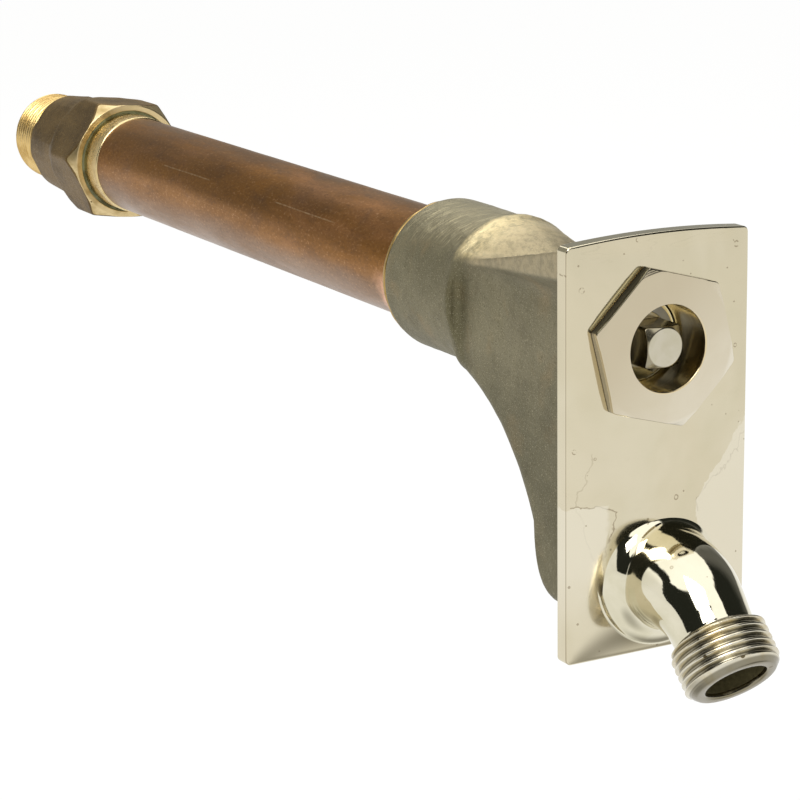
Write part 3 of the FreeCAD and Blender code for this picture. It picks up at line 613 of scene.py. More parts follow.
def plate_colour(s):
    x, y, z = s.xyz()
    waver = (s.noise(210.0, 3.0, 0.6) - 0.5) * 0.0045
    bent_x, bent_z = x + waver, z - waver
    gaps = s.step(s.noise(260.0, 2.0), 0.22, 0.38)
    tides = s.most(tide_mask(s, bent_x, bent_z, left_tide, tide_width),
                   tide_mask(s, bent_x, bent_z, right_tide, tide_width * 0.8),
                   tide_mask(s, bent_x, bent_z, faint_tide, tide_width) * 0.35)
    # The plate is paler beyond the tide lines: right of the right one, and under the left one.
    over = (bent_x - washed_from[0]) * washed_across[0] - (bent_z - washed_from[1]) * washed_across[1]
    right_zone = s.step(over, -0.0002, 0.0003) * s.step(bent_x, 0.0112, 0.0118)
    left_zone = s.step(bent_z, -0.0408, -0.0414) * s.step(bent_x, -0.0158, -0.0176)
    left_zone = left_zone * s.step(bent_z, -0.078, -0.056)
    rings = s.most(*[s.ring_mark(x, z, np.array(at) * MM, ring_radius * (0.6 + 0.13 * (k * 5 % 9)) * MM)
                     for k, at in enumerate(plate_rings)])
    broken = s.step(s.noise(900.0, 2.0), 0.4, 0.55)
    # The front edge of the left side keeps a thin brown line.
    edge_line = s.step(x, -0.0282, -0.0284) * s.step(abs(y + 0.00432), 0.00022, 0.00008)
    return s.layers(
        nickel_cream, (s.patches(35.0, 0.35, 0.7), nickel_dull),
        (s.patches(14.0, 0.48, 0.62) * 0.35, nickel_pale),
        (tides * gaps * 0.6, nickel_line), (s.most(right_zone, left_zone) * 0.7, nickel_washed),
        (rings * broken * 0.65, nickel_line), (s.spots(120.0, 0.07, 0.12) * 0.4, nickel_spot),
        (s.pits(430.0, 0.2, 0.14) * 0.55, nickel_pit), (edge_line * 0.6, nickel_line))


def plate_roughness(s):
    hair = s.group("hairlines", s.place((1, 1, 6), (0, 0.35, 0)), Scale=55.0, Width=0.012, Low=0.5)
    return s.noise(45.0) * 0.1 + (hair * 0.12 + 0.05)


face_nickel = metal("polished nickel bronze", plate_colour, plate_roughness, polish_ripple(0.000012))


# Spout

def spout_colour(s):
    return s.layers(shade(222, 216, 194), (s.patches(45.0, 0.4, 0.75), shade(205, 199, 172)),
                    (s.spots(110.0, 0.09, 0.12) * 0.5, shade(140, 124, 92)),
                    (s.pits(420.0, 0.16, 0.1) * 0.6, nickel_pit))


def thread_colour(s):
    """Satin bronze with painted shade at the thread's root, by the distance from the axis of the slanting
    end.
    """
    x, y, z = s.xyz()
    mouth_y, mouth_z = (-plate_thickness - spout_reach) * MM, (-spout_drop - spout_fall) * MM
    across = (y - mouth_y) * math.sin(spout_tilt) - (z - mouth_z) * math.cos(spout_tilt)
    root = (hose_thread_radius - hose_thread_depth) * MM
    # Painted shade: the thread's root is darkened between the crests.
    root_shade = s.step(s.length(x, across), root + 0.0006, root + 0.0001)
    return s.layers(shade(216, 210, 192), (s.patches(90.0, 0.42, 0.7), shade(200, 187, 154)),
                    (root_shade * 0.7, shade(86, 78, 54)), (s.pits(260.0, 0.2, 0.2), shade(110, 98, 72)))


spout_nickel = metal("mirror nickel bronze", spout_colour, varied(0.035, 0.05, 60.0), polish_ripple(0.00003))
thread_nickel = metal("satin thread", thread_colour, varied(0.14, 0.16, 300.0), grainy(1400.0, 0.00002))


# Nut and stem

def axis_distance(s):
    """Distance from the stem's axis in metres."""
    x, _, z = s.xyz()
    return s.length(x, z)


def dull_shaded_flat(s):
    """Mask of the nut's flat that faces up and to the left, which stays matt and carries painted shade."""
    x, _, z = s.xyz()
    toward = x * math.cos(dull_shaded_flat_angle) + z * math.sin(dull_shaded_flat_angle)
    apothem = nut_corner_radius * math.cos(math.pi / 6) * MM
    return s.step(toward, apothem - 0.0003, apothem - 0.0001)


def nut_colour(s):
    """Cream, paler towards the lower right as painted light, with painted highlights on the chamfer and hole
    rim there, painted shade with a painted glint on the matt flat, and a brown inside.
    """
    x, y, z = s.xyz()
    out = axis_distance(s)
    # Painted light: the face is painted paler towards the lower right, a painted reflection of brighter
    # surroundings.
    lean = x * 0.7 - z * 0.7
    lit_lower_right = s.step(lean, -0.004, 0.01)
    # Painted highlights on the chamfer and the key hole's rim, on the lower right only.
    chamfer = s.step(out, 0.0198, 0.0212) * (lit_lower_right * 0.6)
    hole_rim_highlight = s.step(out, 0.0124, 0.0121) * (lit_lower_right * 0.8)
    # Painted shade on the up-left flat, with a painted glint along its middle.
    flat_glint = s.step(abs(y + 0.0077), 0.0004, 0.0001)
    flat_shade_and_glint = s.mix(flat_glint * 0.5, shade(100, 96, 80), shade(150, 144, 124))
    joint = s.step(y, -0.0064, -0.0061) * s.step(out, 0.0185, 0.019)
    deep = s.step(out, 0.01195, 0.0117) * s.step(y, -0.0093, -0.0089)
    streaks = s.noise(130.0, 4.0, at=s.place((1, 6, 1)))
    inside = s.mix(s.step(streaks, 0.35, 0.65), shade(196, 182, 140), shade(228, 216, 176))
    return s.layers(
        shade(199, 187, 161), (s.step(lean, -0.013, 0.019), shade(217, 208, 187)),
        (s.patches(50.0, 0.38, 0.7) * 0.5, shade(205, 194, 168)), (chamfer, shade(230, 224, 208)),
        (hole_rim_highlight, shade(226, 206, 160)), (s.spots(90.0, 0.08, 0.12) * 0.4, shade(160, 142, 112)),
        (dull_shaded_flat(s), flat_shade_and_glint), (joint * 0.8, shade(70, 58, 38)), (deep, inside))


def nut_normal(s):
    lines = s.group("turned lines", Distance=axis_distance(s), Pitch=0.0005)
    return bumped(s, lines, 0.000002, polish_ripple(0.00001)(s))


def stem_colour(s):
    """Pale bronze, darker on the cone round the tip's disc."""
    cone = s.step(axis_distance(s), (square_tip_radius - 0.1) * MM, (square_tip_radius + 0.2) * MM)
    return s.layers(shade(200, 193, 174), (s.patches(120.0, 0.35, 0.65), shade(193, 186, 163)),
                    (cone * 0.55, shade(112, 100, 72)))


nut_bronze = metal("polished nut bronze", nut_colour,
                   lambda s: s.blend(dull_shaded_flat(s), 0.09, 0.38) + s.noise(70.0) * 0.12, nut_normal)
stem_bronze = metal("stem bronze", stem_colour, lambda s: 0.2, grainy(500.0, 0.00001, (1, 5, 1)))


# Casting

def cast_skin(s, distance):
    """Normal of sand grain over a gentle swell."""
    return bumped(s, s.noise(1500.0, 3.0, 0.6) * 0.5 + s.noise(330.0, 3.0, 0.5) * 0.5, distance)


def filing_marks(s):
    """Fine straight file marks that run across the boss, with a slight lean."""
    x, y, z = s.xyz()
    stretched = s.get("CombineXYZ", {"X": x, "Y": (y + x * 0.35) * 15.0, "Z": z})
    return s.noise(170.0, 2.0, at=stretched)


def ground_mask(s):
    """Where the boss's top was dressed with a file."""
    _, y, z = s.xyz()
    return s.step(z + s.noise(110.0) * 0.006, 0.0165, 0.0185) * s.step(y, 0.055, 0.066)


def casting_colour(s):
    """Grey olive bronze, with a painted shadow in the recess at the shoulder, painted shade low down, and
    painted highlights on the swell and wedges.
    """
    _, y, z = s.xyz()
    shoulder = s.step(y, 0.0715, 0.0695)
    # Painted shadow in the recess beside the boss's shoulder.
    recess = s.step(y, 0.062, 0.0675) * shoulder * (s.step(z, -0.032, -0.012) * s.step(z, 0.014, 0.004))
    # Painted highlight on the swell below the shoulder.
    swell = s.step(z, 0.0115, 0.0155) * (s.step(y, 0.05, 0.065) * shoulder)
    # Painted light: the wedges' facet is painted paler, as lit from above.
    wedge = s.step(z + y * 0.119 - 0.0196, -0.0004, 0.0008) * s.step(y, 0.066, 0.058)
    # Noise that breaks up the painted highlights on the swell and the wedges.
    highlight_breakup = s.step(s.noise(420.0, 3.0, 0.7), 0.36, 0.6)
    ground = s.mix(s.step(filing_marks(s), 0.5, 0.68), shade(142, 134, 108), shade(196, 184, 148))
    return s.layers(
        shade(138, 131, 105), (s.patches(38.0, 0.35, 0.65), shade(124, 118, 94)),
        (s.patches(95.0, 0.48, 0.75) * 0.6, shade(112, 105, 82)),
        (s.patches(55.0, 0.52, 0.72, s.place(shift=(0.2, 0.1, 0.3))) * 0.7, shade(146, 130, 98)),
        # Painted shadow in the recess, and painted shade that darkens the casting low down.
        (recess * 0.45, shade(84, 80, 52)), (s.step(z, -0.006, -0.03) * 0.35, shade(84, 82, 62)),
        (s.step(s.noise(2600.0, 2.0, 0.7), 0.56, 0.7) * 0.6, shade(190, 180, 150)),
        (s.step(s.noise(1900.0, 2.0, 0.7), 0.42, 0.3) * 0.65, shade(78, 72, 54)),
        # Filed top, then the painted highlight on the swell.
        (ground_mask(s) * 0.8, ground), (swell * s.blend(highlight_breakup, 0.35, 0.8), shade(220, 202, 156)),
        # Painted light on the wedges' facet.
        (wedge * s.blend(highlight_breakup, 0.3, 0.6), shade(196, 180, 146)))


def casting_normal(s):
    return bumped(s, filing_marks(s) * ground_mask(s), 0.0002, cast_skin(s, 0.00028))


casting_bronze = metal("sand cast bronze", casting_colour,
                       lambda s: s.blend(ground_mask(s), s.noise(700.0, 2.0) * 0.16 + 0.48, 0.38),
                       casting_normal, 0.9)


# Copper tube: two scratches on its upper left, from one place along Y to another, in millimetres.
tube_scratches = ((248.5, 282.9), (155.5, 194.3))
scratch_height = 9.3


def copper_colour(s):
    """Brown copper in lengthwise stains, with a painted reflection that makes it greyer below, pale pink by
    the boss, with two long scratches.
    """
    x, y, z = s.xyz()
    along = s.place((1, 0.22, 1))
    wander = (s.noise(60.0, at=along) - 0.5) * 0.012
    # Painted reflection: the lower side is painted greyer, as of the pale floor below.
    low_side_reflection = s.step(z + wander, 0.001, -0.008)
    # A pale pink zone on the tube's top beside the boss.
    pink_by_boss = s.step(y + s.noise(90.0) * 0.02, 0.1345, 0.127) * s.step(z + s.noise(70.0) * 0.008, 0.006, -0.001)
    grain = s.noise(1300.0, 3.0, 0.7, at=s.place((1, 0.5, 1)))
    hairs = s.group("hairlines", s.place((3.2, 0.12, 3.2)), Scale=60.0, Width=0.004, Low=0.6)
    line = s.step(abs(z - (wander * 0.08 + scratch_height * MM)), 0.00025, 0.0001)
    worn = s.blend(s.step(s.noise(700.0, 2.0), 0.4, 0.6), 0.25, 0.6)
    scratches = []
    for first, last in tube_scratches:
        inside = s.step(y, first * MM - 0.003, first * MM) * s.step(y, last * MM + 0.003, last * MM)
        scratches.append((line * (inside * s.step(x, 0.0, -0.001)) * worn, shade(206, 172, 132)))
    return s.layers(
        shade(152, 102, 36), (s.patches(70.0, 0.3, 0.72, along), shade(124, 80, 18)),
        (s.patches(42.0, 0.48, 0.76, s.place((1, 0.3, 1), shift=(0.4, 0, 0))), shade(166, 116, 70)),
        (s.patches(120.0, 0.5, 0.8, s.place((1, 0.5, 1), shift=(0, 0, 0.3))) * 0.6, shade(112, 78, 48)),
        (low_side_reflection * 0.6, shade(136, 112, 90)), (pink_by_boss * 0.9, shade(236, 182, 146)),
        (s.step(grain, 0.5, 0.3) * 0.4, shade(88, 60, 34)),
        (s.step(grain, 0.54, 0.74) * 0.5, shade(204, 156, 112)),
        (hairs * 0.4, shade(216, 180, 140)), *scratches)


def copper_roughness(s):
    stain = s.patches(60.0, 0.35, 0.7, s.place((1, 0.3, 1)))
    return stain * 0.1 + (s.noise(500.0, at=s.place((1, 0.3, 1))) * 0.12 + 0.24)


drawn_copper = metal("drawn copper", copper_colour, copper_roughness,
                     lambda s: bumped(s, s.noise(900.0, at=s.place((1, 0.08, 1))), 0.00002,
                                      bumped(s, s.noise(55.0), 0.00006)))


# Coupling, collar and small parts

def rough_brass_colour(s):
    return s.layers(shade(122, 100, 64), (s.patches(60.0, 0.35, 0.7), shade(92, 74, 46)),
                    (s.step(s.noise(2300.0, 2.0, 0.7), 0.56, 0.7) * 0.5, shade(190, 164, 112)),
                    (s.step(s.noise(1700.0, 2.0, 0.7), 0.44, 0.3) * 0.5, shade(58, 48, 34)))


def machined(name, light, dark, roughness, pitch=0.0004):
    """Machined brass with tool lines along Y and light stains."""
    def colour(s):
        return s.layers(light, (s.patches(110.0, 0.42, 0.68), dark),
                        (s.pits(300.0, 0.18, 0.2), shade(96, 76, 44)))

    def normal(s):
        lines = s.group("turned lines", Distance=s.xyz()[1], Pitch=pitch)
        return bumped(s, lines, 0.000006, bumped(s, s.noise(900.0, 2.0), 0.00002))

    return metal(name, colour, varied(roughness, 0.14, 250.0), normal)


def braze_colour(s):
    """Gold at the boss, and painted shade where the bead meets the tube."""
    gold = s.mix(s.noise(260.0), shade(140, 110, 60), shade(206, 176, 114))
    # Painted shade where the bead meets the tube.
    return s.mix(s.step(s.xyz()[1], (boss_end + 0.55) * MM, (boss_end + 0.85) * MM), gold, shade(84, 60, 34))


def groove_colour(s):
    return s.mix(s.patches(150.0, 0.4, 0.62), shade(158, 166, 138), shade(116, 118, 90))


def plain_stuff(name, first, second, roughness, metallic, grain):
    return metal(name, lambda s: s.mix(s.noise(grain), first, second), lambda s: roughness,
                 grainy(grain * 4, 0.00003), metallic)


rough_brass = metal("rough coupling bronze", rough_brass_colour, varied(0.42, 0.2, 800.0, 2.0),
                    lambda s: cast_skin(s, 0.00022), 0.95)
chamfer_brass = machined("bright chamfer brass", shade(222, 200, 152), shade(182, 158, 108), 0.28)
thread_brass = machined("inlet thread brass", shade(226, 194, 128), shade(190, 156, 92), 0.22)
collar_brass = machined("collar brass", shade(226, 204, 154), shade(198, 174, 122), 0.2, 0.0007)
inner_brass = machined("inner brass", shade(190, 164, 112), shade(150, 126, 80), 0.3)
braze_gold = metal("braze", braze_colour, varied(0.2, 0.2, 500.0), grainy(700.0, 0.00008))
groove_green = metal("verdigris in the groove", groove_colour, lambda s: 0.6, grainy(1100.0, 0.0001), 0.15)
black_rubber = plain_stuff("black rubber", shade(34, 33, 32), shade(46, 45, 43), 0.62, 0.0, 400.0)
bore_bronze = plain_stuff("spout bore", shade(160, 150, 108), shade(84, 76, 50), 0.5, 0.7, 1100.0)
graphite_packing = plain_stuff("graphite packing", shade(58, 58, 60), shade(84, 84, 86), 0.5, 0.2, 600.0)
spring_steel = plain_stuff("spring steel", shade(150, 150, 150), shade(120, 120, 122), 0.3, 1.0, 300.0)
fibre_gasket = plain_stuff("fibre gasket", shade(70, 66, 52), shade(52, 50, 40), 0.8, 0.0, 500.0)


# Face plate

def plate_outline(count):
    """Closed outline of the plate as points and outward normals, evenly spaced along its length.

    Three straight sides and an arched top, joined by corner arcs.
    """
    half = plate_half_width
    radius = plate_corner_radius
    arch = (half ** 2 + plate_crown ** 2) / (2 * plate_crown)
    arch_centre = plate_corner_height + plate_crown - arch
    span = math.asin((half - radius) / arch)
    fine = np.linspace(0, 1, 200)
    top_angle = math.pi / 2 - span + 2 * span * fine
    top_normal = circle(top_angle)
    top = np.array([0, arch_centre]) + arch * top_normal

    def corner(x, z, start, end):
        normal = circle(start + (end - start) * fine[::8])
        return np.array([x, z]) + radius * normal, normal

    def side(first, last, normal):
        line = np.array(first) + (np.array(last) - np.array(first)) * fine[:, None]
        return line, np.repeat([normal], len(fine), axis=0)

    lean = math.pi / 2 - span
    shoulder = arch_centre + (arch - radius) * math.cos(span)
    left, right = -half + radius, half - radius
    foot = -plate_drop + radius
    parts = [
        corner(right, shoulder, 0, lean), (top, top_normal),
        corner(left, shoulder, math.pi - lean, math.pi),
        side((-half, shoulder), (-half, foot), (-1, 0)),
        corner(left, foot, math.pi, 1.5 * math.pi),
        side((left, -plate_drop), (right, -plate_drop), (0, -1)),
        corner(right, foot, 1.5 * math.pi, 2 * math.pi),
        side((half, foot), (half, shoulder), (1, 0)),
    ]
    points = np.concatenate([part[0] for part in parts])
    normals = np.concatenate([part[1] for part in parts])
    gaps = np.linalg.norm(np.diff(points, axis=0, append=points[:1]), axis=1)
    # A corner counts for more than its length, so that it gets enough columns.
    turn = np.linalg.norm(np.diff(normals, axis=0, append=normals[:1]), axis=1)
    run = np.concatenate([[0], np.cumsum(gaps + 4.0 * turn)])
    wanted = np.linspace(0, run[-1], count, endpoint=False)
    looped = np.concatenate([points, points[:1]])
    looped_normals = np.concatenate([normals, normals[:1]])
    x, z = (np.interp(wanted, run, looped[:, k]) for k in (0, 1))
    nx, nz = (np.interp(wanted, run, looped_normals[:, k]) for k in (0, 1))
    return np.stack([x, z], axis=-1), unit(np.stack([nx, nz], axis=-1))


def plate_front(x, z):
    """Place along Y of the plate's front: a flat bulge that falls off near the sides and the ends by powers.

    Lower down it turns, by a smooth step, into the higher and rounder swell about the spout.
    """
    middle = (plate_corner_height + plate_crown - plate_drop) / 2
    reach = (plate_corner_height + plate_crown + plate_drop) / 2
    across = np.minimum(np.abs(x) / plate_half_width, 1.0)
    up = np.minimum(np.abs(z - middle) / reach, 1.0)
    low = np.clip((swell_top - z) / (swell_top - swell_full), 0, 1)
    low = low * low * (3 - 2 * low)
    bulge = plate_bulge + (spout_swell - plate_bulge) * low
    fall = plate_side_fall + (spout_swell_fall - plate_side_fall) * low
    return -plate_thickness - bulge * (1 - across ** fall) * (1 - up ** plate_end_fall)


def face_plate():
    """Plate carried round its outline: front out from the shank's hole, softened edge, side and back face in.

    The front's rows are the outline drawn in towards the stem's axis, close together where the bulge falls.
    """
    columns = 640
    outline, normals = plate_outline(columns)
    angles = np.arctan2(outline[:, 1], outline[:, 0])
    hole = shank_bore * circle(angles)
    edge, back_edge = 0.5, 0.25
    inner = outline - normals * (edge + 0.12)
    shares = np.concatenate([np.linspace(0.6, 0.78, 7), np.linspace(0.8, 1.0, 24)])
    held = [hole, hole * 1.01, hole * 1.1]
    front_rows = held + [hole * 0.6 + inner * 0.6 * 0.4] + [inner * share for share in shares]
    rows = [(hole, 0.0)]
    rows += [(flat, plate_front(flat[:, 0], flat[:, 1])) for flat in front_rows]
    rim = plate_front(inner[:, 0], inner[:, 1])
    turn = np.linspace(0.35, math.pi / 2, 6)
    rows += [(outline - normals * edge * (1 - math.sin(a)), rim + edge * (1 - math.cos(a))) for a in turn]
    rows += [(outline, rim + edge + 0.15), (outline, -back_edge - 0.1)]
    turn = np.linspace(0, math.pi / 2, 6)
    rows += [(outline - normals * back_edge * (1 - math.cos(a)), -back_edge * (1 - math.sin(a)))
             for a in turn]
    far = outline - normals * (back_edge + 0.1)
    rows += [(far, 0.0), (hole + (far - hole) * 0.5, 0.0)]
    grid = [np.stack([flat[:, 0], y + np.zeros(columns), flat[:, 1]], axis=-1) for flat, y in rows]
    return surface("plate_polished", np.array(grid), "hydrant", [face_nickel])


# Rough casting

def body_radius(y):
    """Radius of the barrel and boss along Y: barrel, taper, waist, a swell on a cubic curve, boss."""
    t = np.linspace(0, 1, 60)
    waist_end, rise = 45.0, boss_front_radius - waist_radius
    swell = boss_shoulder - waist_end
    b1, b2, b3 = 3 * (1 - t) ** 2 * t, 3 * (1 - t) * t ** 2, t ** 3
    along = waist_end + swell * (0.12 * b1 + 0.42 * b2 + b3)
    radius = waist_radius + rise * (0.1 * b1 + 0.85 * b2 + b3)
    places = np.concatenate([[-5, 36, 42], along, [boss_end]])
    values = np.concatenate([[barrel_radius, barrel_radius, waist_radius], radius, [boss_radius]])
    return np.interp(y, places, values)


def web_bottom(y):
    """Height of the web's underside along Y and its slope: flat foot, a round, then the hollow arc."""
    centre_y, centre_z, radius = web_arc
    round_z = web_foot + web_foot_rounding
    reach = radius + web_foot_rounding
    round_y = centre_y - math.sqrt(reach ** 2 - (round_z - centre_z) ** 2)
    tangent_y = centre_y - radius * (centre_y - round_y) / reach
    on_round = np.sqrt(np.maximum(web_foot_rounding ** 2 - (y - round_y) ** 2, 1e-6))
    on_arc = np.sqrt(np.maximum(radius ** 2 - (centre_y - y) ** 2, 1e-6))
    height = np.where(y < round_y, web_foot, np.where(y < tangent_y, round_z - on_round, centre_z + on_arc))
    curved = np.where(y < tangent_y, (y - round_y) / on_round, (centre_y - y) / on_arc)
    return height, np.where(y < round_y, 0, curved)


def round_both(first, second, radius):
    """Inside both, with the edge between them rounded by a radius."""
    outside = np.hypot(np.maximum(first + radius, 0), np.maximum(second + radius, 0))
    return np.minimum(np.maximum(first, second), -radius) + outside


def melt(first, second, width):
    """Inside either, with the crease between them filled over a width."""
    near = np.maximum(width - np.abs(first - second), 0) / width
    return np.minimum(first, second) - near ** 2 * width / 4


def half_plane(x, z, first, last):
    """Distance to the right of the line from one (x, z) point to another, as seen along +Y."""
    dx, dz = last[0] - first[0], last[1] - first[1]
    length = np.hypot(dx, dz)
    return ((x - first[0]) * dz - (z - first[1]) * dx) / length


def gusset_field(x, y, z):
    """Signed distance to the wedge that spreads from the shoulder to the plate's top corner."""
    share = np.clip(y / wedge_end, 0, 1)

    def between(start, end):
        return (start[0] + (end[0] - start[0]) * share, start[1] + (end[1] - start[1]) * share)

    tip = between((27.4, 27.8), (18.0, 13.4))
    lower = between((27.4, 19.8), (18.0, 12.2))
    root = between((18.0, 12.0), (15.5, 11.0))
    valley = between((8.0, 19.0), (15.0, 13.4))
    inner = between((10.0, 13.0), (15.5, 11.0))
    right = -half_plane(x, z, tip, lower)
    under = -half_plane(x, z, lower, root)
    top = -half_plane(x, z, valley, tip)
    left = -half_plane(x, z, inner, valley)
    field = round_both(round_both(right, under, 0.9), round_both(top, left, 0.9), 0.9)
    return np.maximum(field, y - wedge_end)


def casting_field(x, y, z):
    """Signed distance to the casting's outside in millimetres, negative within."""
    wide = np.abs(x)
    out = np.hypot(x, z)
    height, slope = web_bottom(y)
    below = (height - z) / np.sqrt(1 + slope ** 2)
    flare = 4.0 * np.clip(1 - y / 12.0, 0, 1) ** 1.6 * np.clip((-z + 2.0) / 4.0, 0, 1)
    flat = side_flat + flare
    web = round_both(round_both(wide - flat, below, 5.0), z - web_top, 0.8)
    web = round_both(web, (y - web_reach) * 0.8, 2.5)
    barrel = round_both(wide - side_flat, out - body_radius(y), 1.0)
    front = melt(web, barrel, 2.5)
    boss = round_both(out - body_radius(y), boss_shoulder - y, 0.8)
    front = np.where(y > boss_shoulder + 2.5, web, front)
    body = melt(front, boss, 3.4)
    return melt(body, gusset_field(wide, y, z), 3.0)


def rough_casting():
    """Outside of the casting as radii solved along rays from a line just above the stem's axis.

    On each ray the radius is where the blended distance crosses nought, found by halving. The stations crowd
    where the web's back is steep and at the boss's shoulder.
    """
    centre_z = 8.0
    farthest, halvings = 120.0, 34
    columns = 420
    centre_y, _, arc_radius = web_arc
    arc_turn = np.linspace(math.radians(9.7), math.radians(75.2), 64)
    stations = np.unique(np.round(np.concatenate([
        np.linspace(-0.6, 19.8, 20), 19.8 + 10 * np.sin(np.linspace(0.05, 1.40, 20)),
        centre_y - arc_radius * np.cos(arc_turn), np.arange(66.8, 71.4, 0.3), np.arange(72.5, 76.0, 0.5),
        np.linspace(77, boss_end - boss_rounding, 24),
        boss_end - boss_rounding + boss_rounding * np.sin(np.linspace(0.15, math.pi / 2, 9)),
    ]), 3))
    stations = stations[np.concatenate([[True], np.diff(stations) > 0.05])]
    even = around(2400) - math.pi / 2

    def solve(y, angles):
        low = np.zeros((len(y), len(angles)))
        high = np.full_like(low, farthest)
        for _ in range(halvings):
            middle = (low + high) / 2
            across, up = middle * np.cos(angles), centre_z + middle * np.sin(angles)
            inside = casting_field(across, y[:, None], up) < 0
            low = np.where(inside, middle, low)
            high = np.where(inside, high, middle)
        return (low + high) / 2

    sample = solve(np.array([14.0]), even)[0]
    edge = sample[:, None] * circle(even)
    gaps = np.linalg.norm(np.diff(edge, axis=0, append=edge[:1]), axis=1)
    run = np.concatenate([[0], np.cumsum(gaps + gaps.mean() * 0.35)])
    angles = np.interp(np.linspace(0, run[-1], columns, endpoint=False), run,
                       np.concatenate([even, even[:1] + 2 * math.pi]))
    radius = solve(stations, angles)
    rounding = np.clip(stations - (boss_end - boss_rounding), 0, boss_rounding)
    inset = boss_rounding - np.sqrt(np.maximum(boss_rounding ** 2 - rounding ** 2, 0))
    x = radius * np.cos(angles)
    z = centre_z + radius * np.sin(angles)
    out = np.hypot(x, z)
    keep = (out - inset[:, None]) / out
    outside = np.stack([x * keep, np.repeat(stations[:, None], columns, axis=1), z * keep], axis=-1)
    uneven = 0.04 * waves(outside, 9.0, 3) + 0.03 * waves(outside, 3.5, 4)
    calm = np.clip((boss_end - outside[..., 1]) / 6.0, 0, 1)
    direction = np.stack([x / out, np.zeros_like(x), z / out], axis=-1)
    outside = outside + direction * (uneven * calm)[..., None]
    turn = np.arctan2(outside[-1, :, 2], outside[-1, :, 0])
    bore = [(boss_end, 19.3), (boss_end, tube_socket + 0.4), (boss_end - 0.4, tube_socket),
            (tube_socket_start, tube_socket), (tube_socket_start, waterway), (guide_bore_end, waterway),
            (guide_bore_end, guide_bore), (guide_bore_start, guide_bore), (guide_bore_start, shank_bore),
            (-0.6, shank_bore)]
    inside = turned(ring_rows(bore, turn), turn)
    return surface("casting_rough", np.concatenate([outside, inside]), "hydrant", [casting_bronze])


# Hose spout

def spout_line():
    """Key places of the spout's centre line: mouth, bend start, bend end and bend centre, as (y, z)."""
    outward = np.array([-math.cos(spout_tilt), -math.sin(spout_tilt)])
    mouth = np.array([-plate_thickness - spout_reach, -spout_drop - spout_fall])
    corner = np.array([mouth[0] + spout_fall / math.tan(spout_tilt), -spout_drop])
    tangent = spout_bend_radius * math.tan(spout_tilt / 2)
    bend_start = corner + np.array([tangent, 0])
    return mouth, bend_start, corner + outward * tangent, bend_start - np.array([0, spout_bend_radius])


def carried(rows, angles):
    """Carry (distance, radius) rows along the spout's line of a straight, a bend and a straight.

    Distance counts from the plate's back. Across is X and the line's own upward normal.
    """
    distance, radius = rows[..., 0], rows[..., 1]
    _, bend_start, _, centre = spout_line()
    past = distance + bend_start[0]
    turn = np.clip(past / spout_bend_radius, 0, spout_tilt)
    beyond = np.minimum(past, 0) + np.maximum(past - spout_bend_radius * spout_tilt, 0)
    up = radius * np.sin(angles) + spout_bend_radius
    y = centre[0] - up * np.sin(turn) - beyond * np.cos(turn)
    z = centre[1] + up * np.cos(turn) - beyond * np.sin(turn)
    return np.stack([radius * np.cos(angles), y, z], axis=-1)


def hose_spout():
    """Elbow with a coved root, a narrowing neck, the hose thread and the bore, as one closed surface."""
    angles = around(256)
    mouth, bend_start, bend_end, _ = spout_line()
    straight = -bend_start[0]
    bend = spout_bend_radius * spout_tilt
    end = straight + bend + np.linalg.norm(mouth - bend_end)
    neck_start = end - hose_thread_length
    root_end = plate_thickness + spout_swell + spout_cove
    rim = spout_root_radius + spout_cove
    seat = -plate_front(rim * np.cos(angles), -spout_drop - rim * np.sin(angles)) - 0.03
    cove = [(seat + spout_cove * (1 - math.cos(a)), spout_root_radius + spout_cove * (1 - math.sin(a)))
            for a in np.linspace(0, math.pi / 2, 16)]
    elbow_at = np.linspace(root_end + 0.4, neck_start - 0.3, 96)
    elbow = smooth_curve(elbow_at, [root_end, straight + bend / 2, straight + bend, neck_start + 1.0],
                         [spout_root_radius, *spout_bend_radii, spout_neck_radius])
    thread_at = np.linspace(neck_start, end - 0.25, 118)
    form = thread_form(thread_at - neck_start, hose_thread_pitch, angles)
    crest = hose_thread_radius - hose_thread_depth * (1 - form)
    chamfer_slope = (hose_thread_radius - hose_face_radius) / hose_thread_chamfer
    chamfer = hose_face_radius + (end - thread_at)[:, None] * chamfer_slope
    start = np.clip((thread_at - neck_start)[:, None] / hose_thread_runin, 0, 1)
    start = start * start * (3 - 2 * start)
    thread = np.minimum(spout_neck_radius + (crest - spout_neck_radius) * start, chamfer)
    edge = 0.5
    lip = [(end - 0.08, hose_face_radius - 0.04), (end, hose_face_radius - 0.3),
           (end, spout_bore + edge + 0.1), (end - 0.1, spout_bore + edge * 0.45), (end - edge, spout_bore)]
    outside = [(1.0, rim), *cove, *zip(elbow_at, elbow)]
    deep = [(y, spout_bore) for y in np.linspace(end - 1.5, 1.0, 40)]
    rows = ring_rows([*outside, *zip(thread_at, thread), *lip, *deep], angles)
    kinds = np.repeat([0, 1, 2], [len(outside), len(thread) + len(lip), len(deep)])
    return surface("spout_polished", carried(rows, angles), "hydrant",
                   [spout_nickel, thread_nickel, bore_bronze], kinds)


